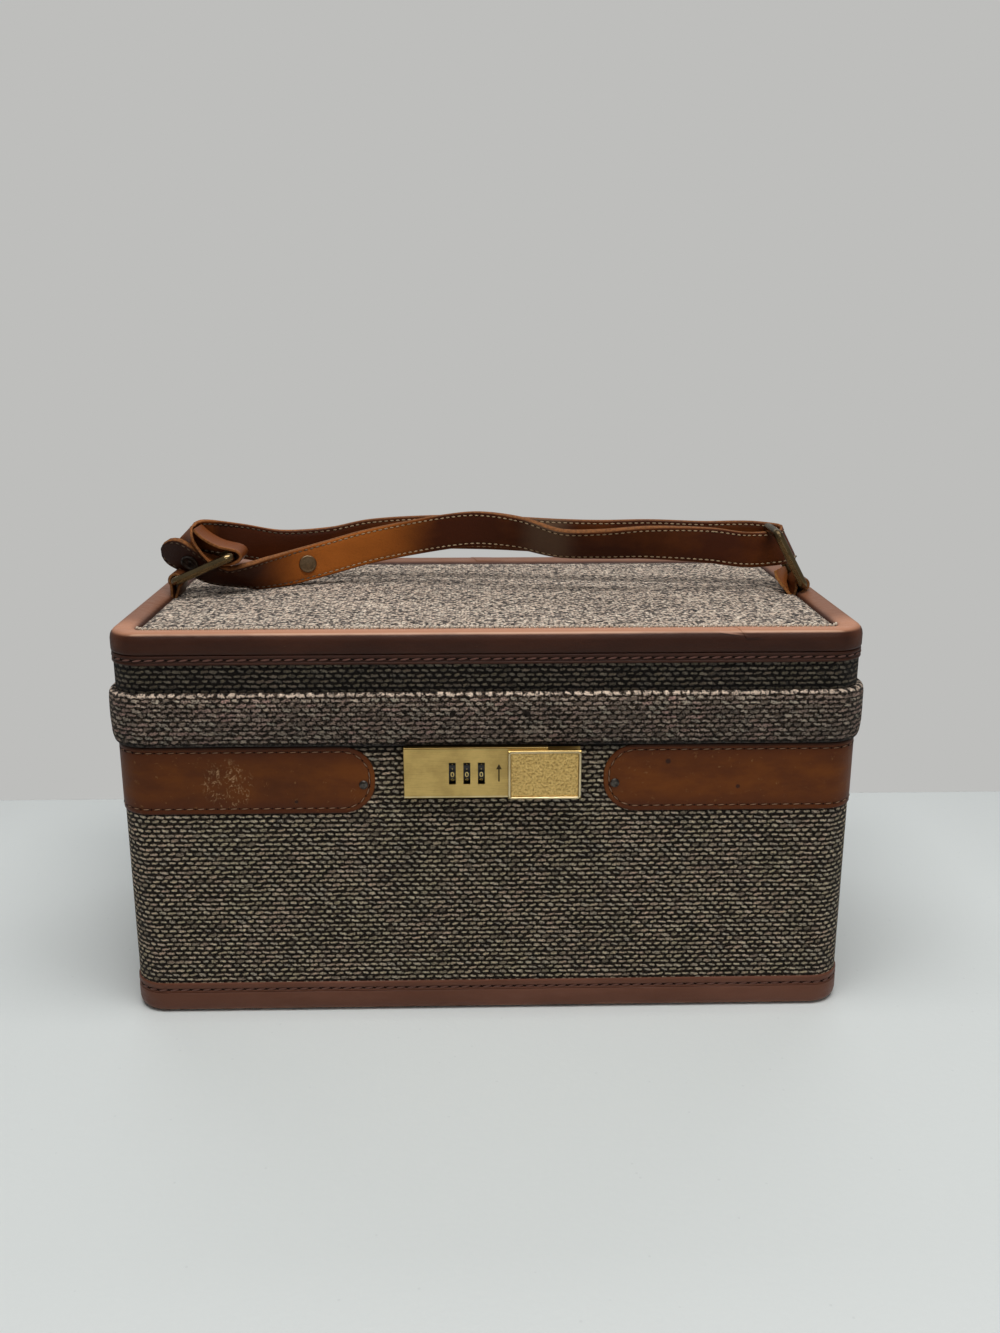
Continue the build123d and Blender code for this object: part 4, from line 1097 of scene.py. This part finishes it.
BAND_RIVETS = [(Vector((x, y, 120.3)), Vector((0, math.copysign(1, y), 0))) for x, y in
               ((-59.8, -97.15), (59.8, -97.15), (-109.4, 97.15), (109.4, 97.15))]
rivets("Side_band_rivets", "side_band_rivets", BAND_RIVETS, 2.2, GUNMETAL, "case_body")
HASP_RIVETS = [(Vector((x, -99.35, 155.8)), Vector((0, -1, 0))) for x in (-17.4, 17.4)]
rivets("Hasp_rivets", "hasp_rivets", HASP_RIVETS, 2.0, DARK_RIVET, "case_lid")


# Lock


DIAL_XS = (-17.6, -10.75, -3.9)
DIAL_Y = -93.85
DIAL_Z = 127.0
DIAL_R = 6.2
FIRST_DIGIT = -10
DIGIT_TURN = 36


def digit_mesh(number):
    """One flat digit: its points, its faces and the edges of its border."""
    curve = bpy.data.curves.new("digit", "FONT")
    curve.body = str(number)
    curve.size = 3.8
    curve.align_x = "CENTER"
    curve.align_y = "CENTER"
    curve.resolution_u = 3
    curve.fill_mode = "FRONT"
    text = bpy.data.objects.new("digit", curve)
    mesh = bpy.data.meshes.new_from_object(text)
    bpy.data.objects.remove(text)
    faces = [tuple(p.vertices) for p in mesh.polygons]
    border = [e for e in mesh.edge_keys if sum(1 for face in faces if set(e) <= set(face)) == 1]
    return [v.co for v in mesh.vertices], faces, border


def on_dial(x, radius, angle):
    """Point at a radius round the dials' axle, at an angle above the front."""
    return x, DIAL_Y - radius * math.cos(angle), DIAL_Z + radius * math.sin(angle)


def dial_digits(index, dial_x, body):
    """All ten digits of a wheel, raised 0.06 mm and bent round it."""
    verts = []
    faces = []
    for number in range(10):
        flat, digit_faces, border = digit_mesh(number)
        middle = math.radians(FIRST_DIGIT + DIGIT_TURN * number)
        first = len(verts)
        count = len(flat)
        for radius in (DIAL_R + 0.06, DIAL_R - 0.02):
            verts += [on_dial(dial_x + co.x, radius, middle + co.y / DIAL_R) for co in flat]
        faces += [tuple(first + k for k in f) for f in digit_faces]
        faces += [tuple(first + count + k for k in f[::-1]) for f in digit_faces]
        faces += [(first + a, first + b, first + count + b, first + count + a) for a, b in border]
    obj = make(f"Dial_{index}_digits", verts, faces, PALE_GOLD, body, 30.0)


def wheel(index, dial_x, body):
    """Number wheel with ten flats, a groove between each pair and fine teeth at both rims."""
    half = 2.3
    across = [(-half, 5.3, 0), (-half, 6.0, 1), (-2.05, DIAL_R, 1), (-1.5, DIAL_R, 1), (-1.45, DIAL_R, 0),
              (1.45, DIAL_R, 0), (1.5, DIAL_R, 1), (2.05, DIAL_R, 1), (half, 6.0, 1), (half, 5.3, 0)]
    around = 360
    bore_r = 1.6
    verts = []
    for x, radius, toothed in across:
        for i in range(around):
            past_groove = (i - FIRST_DIGIT - DIGIT_TURN // 2) % DIGIT_TURN
            dip = 0.55 * max(0.0, 1 - min(past_groove, DIGIT_TURN - past_groove) / 3.0)
            if toothed and i % 6 < 3:
                dip = max(dip, 0.22)
            verts.append(on_dial(dial_x + x, radius - dip, math.radians(i)))
    faces = flipped(tube_faces(len(across), around))
    hub = len(verts)
    for side in (-half, half):
        verts += [on_dial(dial_x + side, bore_r, math.radians(i)) for i in range(around)]
    last = (len(across) - 1) * around
    for i in range(around):
        j = (i + 1) % around
        faces.append((i, j, hub + j, hub + i))
        faces.append((last + j, last + i, hub + around + i, hub + around + j))
        faces.append((hub + i, hub + j, hub + around + j, hub + around + i))
    obj = make(f"Dial_{index}", verts, faces, DIAL_BLACK, body, 25.0)
    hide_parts(f"dial_{index}")


for index, dial_x in enumerate(DIAL_XS, start=1):
    wheel(index, dial_x, f"number_wheel_{index}")
    dial_digits(index, dial_x, f"number_wheel_{index}")


def slider_field():
    """Pebbled field inside the slider's frame."""
    x0, x1, z0, z1 = 9.85, 42.05, 115.65, 137.35
    y = FRONT_Y - 5.95
    cols = 150
    rows = 100
    verts = []
    hollow = []
    for j in range(rows + 1):
        for i in range(cols + 1):
            x = x0 + (x1 - x0) * i / cols
            z = z0 + (z1 - z0) * j / rows
            edge = min(x - x0, x1 - x, z - z0, z1 - z)
            rise = 0.5 + 0.6 * noise.noise(Vector((x * 0.9, z * 0.9, 0.0)))
            rise += 0.45 * noise.noise(Vector((x * 2.2, z * 2.2, 4.0)))
            rise = max(0.0, rise) * min(1.0, edge / 0.6)
            verts.append((x, y - 0.02 - 0.34 * rise, z))
            hollow.append(max(0.0, 1 - rise * 1.6))
    obj = make("Slider_field", verts, grid_faces(cols, rows), PEBBLED, None, 60.0, edge=hollow)
    thicken(obj, 0.05)
    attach(obj, "latch")


slider_field()


def slider_frame():
    """Bright rolled edge round the slider."""
    x0, x1, z0, z1 = 9.3, 42.6, 115.1, 137.9
    y = FRONT_Y - 6.35
    corner = 1.2
    path = []
    for cx, cz, start in ((x1 - corner, z1 - corner, 0), (x0 + corner, z1 - corner, 90),
                          (x0 + corner, z0 + corner, 180), (x1 - corner, z0 + corner, 270)):
        for i in range(7):
            a = math.radians(start + 15 * i)
            path.append((cx + corner * math.cos(a), cz + corner * math.sin(a), math.cos(a), math.sin(a)))
    verts = []
    around = 12
    for x, z, nx, nz in path:
        for k in range(around):
            b = 2 * math.pi * k / around
            out = 0.58 * math.cos(b)
            verts.append((x + nx * out, y + 0.5 * math.sin(b), z + nz * out))
    faces = tube_faces(len(path), around, closed_rings=True)
    obj = make("Slider_frame", verts, faces, BRIGHT_BRASS, "latch", 60.0)


slider_frame()


def lock_bevel():
    """Lower edge of the housing, bevelled to catch the light and made in the paler bright brass as a painted
    highlight.
    """
    section = [(0.04, 1.15), (-0.04, 0.75), (-0.02, 0.45), (0.2, 0.1), (0.5, -0.05), (0.9, -0.04), (0.9, 1.1)]
    verts = [(x, LOCK_FACE_Y + a, 114.7 + b) for x in (-40.45, 8.6) for a, b in section]
    n = len(section)
    faces = tube_faces(2, n) + [tuple(range(n)), tuple(range(n, 2 * n))[::-1]]
    obj = make("Lock_bevel", verts, faces, BRIGHT_BRASS, "case_body", 80.0)


lock_bevel()


def arrow_mark():
    """Plain arrow beside the dials that points the way the slide opens."""
    shape = [(-0.35, -4.2), (0.35, -4.2), (0.35, 1.9), (1.35, 1.9), (0.0, 4.6), (-1.35, 1.9), (-0.35, 1.9)]
    verts = [(4.4 + a, LOCK_FACE_Y + depth, DIAL_Z + 0.1 + b) for depth in (-0.03, 0.05) for a, b in shape]
    n = len(shape)
    faces = [tuple(range(n)), tuple(range(n, 2 * n))[::-1]]
    faces += [(i, i + n, (i + 1) % n + n, (i + 1) % n) for i in range(n)]
    obj = make("Lock_arrow", verts, faces, ENGRAVED, "case_body")


arrow_mark()


# Strap, rings and tabs


STRAP_HALF = 9.5
STRAP_FACE = [(-8.75, 1.62), (-8.1, 1.68), (-7.65, 1.5), (-7.2, 1.66), (-5.5, 1.7), (-2.8, 1.74), (0.0, 1.75),
              (2.8, 1.74), (5.5, 1.7), (7.2, 1.66), (7.65, 1.5), (8.1, 1.68), (8.75, 1.62)]
STRAP_EDGE = [(9.28, 1.3), (9.48, 0.75), (9.38, 0.0), (9.48, -0.75), (9.28, -1.3)]
SECTION = STRAP_FACE + STRAP_EDGE + [(-a, -b) for a, b in STRAP_FACE] + [(-a, -b) for a, b in STRAP_EDGE]
SECTION_EDGE = [1.0 if abs(a) > 9.2 else 0.0 for a, b in SECTION]


def smooth_path(stations, step):
    """Samples of a smooth curve through stations of (x, y, z, slant, lean)."""
    table = [[*Vector(s[:3]), *s[3:]] for s in stations]
    knots = [0.0]
    for a, b in zip(table, table[1:]):
        knots.append(knots[-1] + (Vector(b[:3]) - Vector(a[:3])).length)
    last = len(table) - 1

    def slope(i, k):
        a = max(i - 1, 0)
        b = min(i + 1, last)
        return (table[b][k] - table[a][k]) / (knots[b] - knots[a])

    found = []
    for i in range(last):
        run = knots[i + 1] - knots[i]
        count = max(1, round(run / step))
        for j in range(count + (i == last - 1)):
            t = j / count
            values = []
            for k in range(5):
                p, q = table[i][k], table[i + 1][k]
                m, n = slope(i, k) * run, slope(i + 1, k) * run
                values.append((2 * t ** 3 - 3 * t ** 2 + 1) * p + (t ** 3 - 2 * t ** 2 + t) * m
                              + (-2 * t ** 3 + 3 * t ** 2) * q + (t ** 3 - t ** 2) * n)
            found.append(values)
    return found


def strap_frames(stations, step=2.0):
    """Frames along a strap: centre, direction of the width, and the normal of the front face."""
    samples = smooth_path(stations, step)
    frames = []
    last = len(samples) - 1
    for i, (x, y, z, slant, lean) in enumerate(samples):
        before = Vector(samples[max(i - 1, 0)][:3])
        after = Vector(samples[min(i + 1, last)][:3])
        run = (after - before).normalized()
        slant, lean = math.radians(slant), math.radians(lean)
        rest = math.cos(slant)
        wide = Vector((-math.sin(slant), -rest * math.sin(lean), rest * math.cos(lean)))
        wide = (wide - run * wide.dot(run)).normalized()
        face = wide.cross(run).normalized()
        frames.append((Vector((x, y, z)), wide, face))
    return frames


def tip_width(frames, centre):
    """Share of the full width near a rounded tip at the end of the frames."""
    away = (frames[-1][0] - centre).length
    return math.sqrt(max(0.02, 1 - (1 - min(1.0, away / STRAP_HALF)) ** 2))


def strap_piece(name, frames, mat, round_end, skived):
    """Belt of stitched leather along frames. It can end in a rounded tip, or thin out towards its end."""
    verts = []
    for i, (centre, wide, face) in enumerate(frames):
        narrow = tip_width(frames, centre) if round_end else 1.0
        thin = 1 - 0.5 * min(1.0, max(0.0, i / len(frames) - 0.3) * 3) if skived else 1.0
        verts += [centre + wide * a * narrow + face * b * thin for a, b in SECTION]
    faces = flipped(tube_faces(len(frames), len(SECTION))) + end_caps(len(frames))
    return make(name, verts, faces, mat, None, 50.0, edge=SECTION_EDGE * len(frames))


def end_caps(rings):
    """Quads that close both ends of a belt, between its front and its back face."""
    n = len(SECTION)
    front = [*range(n - 3, n), *range(len(STRAP_FACE) + 3)]
    faces = []
    for ring, flip in ((0, False), (rings - 1, True)):
        over = [ring * n + i for i in front]
        under = [ring * n + (i + n // 2) % n for i in reversed(front)]
        faces += cap_faces(over, under, flip)
    return faces


def strap_seams(name, frames, round_end, skived):
    """Two rows of cream stitches on each face of a strap, which meet round a tip."""
    used = [f for f in frames if not round_end or tip_width(frames, f[0]) > 0.4]
    if skived:
        used = used[:int(len(used) * 0.55)]
    lists = [], [], []
    for sign, row in ((-1, -7.65), (-1, 7.65), (1, -7.65), (1, 7.65)):
        path = []
        for centre, wide, face in used:
            a = math.copysign(STRAP_HALF * tip_width(frames, centre) - 1.85, row) if round_end else row
            path.append((centre + wide * a + face * sign * 1.52, face * sign))
        for point, normal, ahead in along(path, 3.25):
            side = normal.cross(ahead)
            gap = point + ahead * 1.62 - normal * 0.02
            add_ball(lists, point + normal * 0.08, ahead * 1.12, side * 0.4, normal * 0.3, 0)
            # Painted shade: a dark bed under each stitch and a dark hole in each gap.
            add_ball(lists, point, ahead * 1.4, side * 0.7, normal * 0.16, 1)
            add_ball(lists, gap, ahead * 0.42, side * 0.45, normal * 0.07, 1)
    verts, faces, slots = lists
    return make(name, verts, faces, [CREAM_THREAD, HOLE], None, 80.0, slots)


FRONT_PASS = [
    (-86, 24, 208.1, 0, 0), (-66, 25.5, 213.4, 0, 0), (-46, 24, 217.8, 0, 0), (-19, 17, 223.4, 0, 0),
    (-3, 13, 225.2, 0, 4), (18, 7, 223.8, 0, 18), (39, 3, 218.9, 0, 32), (61, 1, 218.7, 0, 30),
    (87, 0, 219.6, 0, 18), (120, 0, 217.9, 0, 0),
]
BACK_PASS = [
    (-86, 40, 213.0, 0, 0), (-64, 40.5, 217.2, 0, 0), (-30, 39, 219.4, 0, 0), (0, 36, 219.6, 0, 0),
    (20, 32, 219.3, 0, 0), (41, 28, 218.7, 0, 0), (63, 25, 218.5, 0, 0), (90, 22, 219.2, 0, 0),
    (120, 19.5, 218.5, 0, 0),
]
LEFT_TIP = [
    (-104, 20, 203.8, 0, 0), (-115, 12, 202.6, 0, 18), (-126, 3.5, 202.3, 0, 38), (-137, 1.5, 201.9, -8, 50),
    (-146, 0.5, 204.4, -22, 44), (-155, 0, 209.6, -30, 36), (-164, -0.5, 215.2, -32, 30),
    (-171, -1, 219.2, -30, 28),
]
LEFT_WRAP = [
    (-114, 34, 212.3, 0, 0), (-134, 23, 217.4, 0, 0), (-146, 15, 220.6, -5, 5), (-155, 9, 223, -20, 18),
    (-160, 4, 223.6, -40, 42), (-157, 0.5, 219.5, -32, 64), (-151.5, -0.2, 215.4, -16, 80),
    (-146, 0, 211.9, -4, 88), (-141, 0, 210.6, 0, 90), (-134.5, 0, 210.4, 0, 90), (-130.2, 0, 212.0, 0, 90),
    (-128.6, 0, 214.6, 0, 90), (-130.6, 0, 217.2, 0, 90), (-134.5, 0, 218.3, 0, 90),
    (-140, -0.5, 219.8, 0, 90), (-145.5, -1, 222.8, 0, 90), (-149.5, -1.5, 226, 0, 90),
    (-152, -1.5, 229, 0, 90),
]


def right_turn():
    """Round the far side bar of the right ring, with the belt slanted as the ring is."""
    slant = 29.0
    radius = 5.2
    stations = [(136.0, 2.0, 215.4, slant * 0.4, 0), (147.0, 5.4, 214.6, slant * 0.8, 0)]
    for angle in range(-90, 91, 30):
        x = 158.8 + radius * math.cos(math.radians(angle))
        y = 12.0 + radius * math.sin(math.radians(angle))
        stations.append((x, y, 216.5 + angle / 90, slant, 0))
    return stations + [(147.0, 18.6, 218.6, slant * 0.6, 0), (136.0, 18.8, 218.8, slant * 0.3, 0)]


def nearest(xs, x, first, last):
    """Index of the value nearest to x, from first up to but without last."""
    return min(range(first, last), key=lambda i: abs(xs[i] - x))


def strap():
    """The belt in seven lengths, which meet where each rides wholly on the lid or on the handle."""
    line = strap_frames([*reversed(LEFT_TIP), *FRONT_PASS, *right_turn(), *reversed(BACK_PASS), *LEFT_WRAP])
    xs = [frame[0].x for frame in line]
    turn = xs.index(max(xs))
    crest = max(i for i in range(turn + 1, len(xs)) if xs[i] < -158)
    a = nearest(xs, -86, 0, turn)
    b = nearest(xs, 15, 0, turn)
    c = nearest(xs, 120, 0, turn)
    d = nearest(xs, 120, turn + 1, len(xs))
    e = nearest(xs, 15, turn + 1, crest)
    f = nearest(xs, -86, turn + 1, crest)
    left_lift = ("handle", (-86, 0, 210), (12, 0, 210))
    right_lift = ("handle", (120, 0, 210), (18, 0, 210))
    tip_swing = ("left_ring", (-102, 0, 204), (-132, 0, 204))
    wrap_swing = ("left_ring", (-100, 36, 213), (-135, 10, 213))
    turn_swing = ("right_ring", (122, 0, 215), (150, 0, 215))
    lengths = [
        ("Strap_tip_left", line[:a + 1][::-1], "strap_loop_left", tip_swing),
        ("Strap_front_left", line[a:b + 1], "strap_front", left_lift),
        ("Strap_front_right", line[b:c + 1], "strap_front", right_lift),
        ("Strap_turn_right", line[c:d + 1], "strap_loop_right", turn_swing),
        ("Strap_back_right", line[d:e + 1], "strap_back", right_lift),
        ("Strap_back_left", line[e:f + 1], "strap_back", left_lift),
        ("Strap_wrap_left", line[f:], "strap_loop_left", wrap_swing),
    ]
    for name, frames, node, (mover, start, end) in lengths:
        tip = name == "Strap_tip_left"
        wrap = name == "Strap_wrap_left"
        belt = strap_piece(name, frames, WRAP_SHADE_AND_LIGHT if wrap else STRAP, tip, wrap)
        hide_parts(node)
        seams = strap_seams(f"{name}_stitches", frames, tip, wrap)
        for obj in (belt, seams):
            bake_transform(obj)
    return line


STRAP_LINE = strap()


def snap_half(name, profile, share, x, mat, body, around):
    """Turned half of the snap, on the strap's front face at an x. share leaves out the rest of the belt."""
    frames = STRAP_LINE[:len(STRAP_LINE) // share]
    centre, _, face = min(frames, key=lambda frame: abs(frame[0].x - x))
    front = face if face.y < 0 else -face
    return lathe(name, profile, centre + front * 1.7, front, mat, body, around)


def snap():
    """Pressed cap with a rolled rim, and the dark socket on the strap's tip."""
    dome = [(4.4, -0.2), (4.75, 0.1), (4.8, 0.5), (4.6, 0.95), (4.15, 1.1), (3.8, 0.95), (3.4, 0.98),
            (2.0, 1.12), (0.02, 1.18)]
    cap = snap_half("Strap_snap_cap", dome, 3, -98.4, SNAP_BRONZE, "case_lid", 40)
    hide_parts("strap_snap")
    cup = [(4.5, -0.2), (4.7, 0.1), (4.6, 0.7), (4.0, 1.0), (3.4, 0.8), (3.0, 0.35), (1.6, 0.3), (1.4, 0.7),
           (0.02, 0.8)]
    socket = snap_half("Strap_snap_socket", cup, 4, -157, GUNMETAL, "left_ring", 36)


snap()


def strip_section(half, edge, full, soft):
    """Points round a leather strip: along its width, along its thickness, and how much raw edge shows."""
    inner = half - 0.5
    first = [(-half, -edge, 1), (-half, edge, 1), (-inner, full, soft), (0, full, 0), (inner, full, soft)]
    return first + [(-y, -t, e) for y, t, e in first]


def leather_strip(name, line, sections, turns, mat):
    """Strip along a line seen from the front. At each point it has a section, and a turn in degrees."""
    verts = []
    edge = []
    last = len(line) - 1
    for i, p in enumerate(line):
        run = (line[min(i + 1, last)] - line[max(i - 1, 0)]).normalized()
        out = Vector((-run.y, run.x))
        turn = math.radians(turns[i])
        for y, t, e in sections[i]:
            q = p + out * t
            verts.append((q.x + y * math.sin(turn), y * math.cos(turn), q.y))
            edge.append(e)
    n = len(sections[0])
    faces = tube_faces(len(line), n)
    faces += [tuple(range(n)), tuple(last * n + i for i in range(n))[::-1]]
    obj = make(name, verts, faces, mat, "case_lid", 50.0, edge=edge)
    return obj


def tab(name, node, px, pz, side):
    """Strip of leather round a ring's bar, pinched together below it and sewn into the seam."""
    seam_x = side * 165.0
    seam_z = 191.6
    foot = Vector((seam_x, seam_z))
    down = Vector((seam_x - px, seam_z - pz))
    radius = 3.35
    angle = math.atan2(down.y, down.x)
    away = Vector((-down.y, down.x)).normalized() * 0.85
    line = [foot + away]
    for i in range(17):
        a = angle + math.radians(38 + (322 - 38) * i / 16)
        line.append(Vector((px + radius * math.cos(a), pz + radius * math.sin(a))))
    line.append(foot - away)
    count = len(line)
    obj = leather_strip(name, line, [strip_section(9.4, 0.48, 0.8, 0.2)] * count, [0] * count, TAB)
    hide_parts(node)


tab("Handle_tab_left", "handle_tab_left", -163.4, 201.8, -1)
tab("Handle_tab_right", "handle_tab_right", 168.2, 198.0, 1)


def tab_flap():
    """Free end of the right tab, which stands up inside the ring, in the tab's leather made paler as painted
    light.
    """
    places = [(163.6, 191.8), (162.2, 195.0), (160.6, 198.6), (159.0, 202.0), (157.9, 205.2)]
    widths = (9.2, 9.2, 9.2, 9.2, 7.6)
    sections = [strip_section(half, 0.6, 0.85, 0) for half in widths]
    leather_strip("Handle_tab_right_flap", [Vector(p) for p in places], sections, (4, 14, 24, 30, 32), FLAP_PAINTED_LIGHT)


tab_flap()


# Inside


def back_pocket():
    """Gathered cloth pocket on the back wall with an elastic hem."""
    low = 24.5
    high = 91.5
    cols = 240
    rows = 24
    verts = []
    for j in range(rows + 1):
        t = j / rows
        z = low + (high - low) * t
        for i in range(cols + 1):
            u = i / cols
            x = -119.5 + 239 * u
            end = min(1.0, min(u, 1 - u) * 14)
            fold = math.sin(u * 2 * math.pi * 26 + 2.0 * noise.noise(Vector((u * 9, 0, 0))))
            depth = 7.6 * end * (0.35 + 0.65 * math.sin(math.pi * min(1.0, t * 0.62 + 0.1)))
            gather = 0.8 * fold * end * (0.25 + 0.75 * t ** 2)
            hem = 0.5 if t > 0.92 else 0.0
            verts.append((x, 90.4 - depth - gather - hem, z))
    obj = make("Back_pocket", verts, grid_faces(cols, rows), LINING)
    thicken(obj, 0.9, 0)
    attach(obj, "case_body")
    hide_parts("back_pocket")


back_pocket()


def stay_tape(side, word):
    """Slack tape that buckles inward between its two clips while the lid is shut."""
    across = (-7.0, -6.6, -3.5, 0.0, 3.5, 6.6, 7.0)
    x0 = side * 167.2
    rows = 40
    verts = []
    for j in range(rows + 1):
        t = j / rows
        bow = 0.9 * math.sin(math.pi * t) ** 2
        for face, ys in ((1, across), (-1, across[::-1])):
            for y in ys:
                thick = 0.3 if abs(y) > 6.8 else 0.48
                verts.append((x0 - side * (bow - face * thick), 30 + y, 124.95 + 32.0 * t))
    n = 2 * len(across)
    faces = tube_faces(rows + 1, n)
    faces += [tuple(range(n))[::-1], tuple(rows * n + i for i in range(n))]
    obj = make(f"Stay_tape_{word}", verts, flipped(faces) if side > 0 else faces, TAPE)
    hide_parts(f"stay_tape_{word}")
    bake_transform(obj)


stay_tape(-1, "left")
stay_tape(1, "right")


# Materials of the CAD nodes that stay


def paint(mat, *names):
    """Give CAD nodes a material."""
    for name in names:
        node = NODES[name]
        node.data.materials.clear()
        node.data.materials.append(mat)


paint(TWEED, "body_tweed_cover", "lid_tweed_side")
paint(BOARD, "body_shell", "lid_shell")
paint(LINING, "body_lining", "lid_lining")
paint(VINYL, "bottom_panel_cover")
paint(ALUMINIUM, "body_lip")
paint(BRASS, "lock_base_plate", "lock_housing", "latch_slider")
paint(STEEL, "lock_back_box", "lock_rivets", "dial_frame", "dial_axle", "dial_spring", "latch_bolt")
paint(STEEL, "hinge_pin")
paint(HINGE_BRASS, "hinge_leaf_body", "hinge_leaf_lid", "hasp")
paint(OLD_BRASS, "ring_left", "ring_right")
paint(OLD_BRASS, "stay_clip_body_left", "stay_clip_body_right", "stay_clip_lid_left", "stay_clip_lid_right")
paint(GUNMETAL, "hinge_rivets_body", "hinge_rivets_lid")
paint(MIRROR, "lid_mirror")
paint(FRAME_PLASTIC, "mirror_frame")
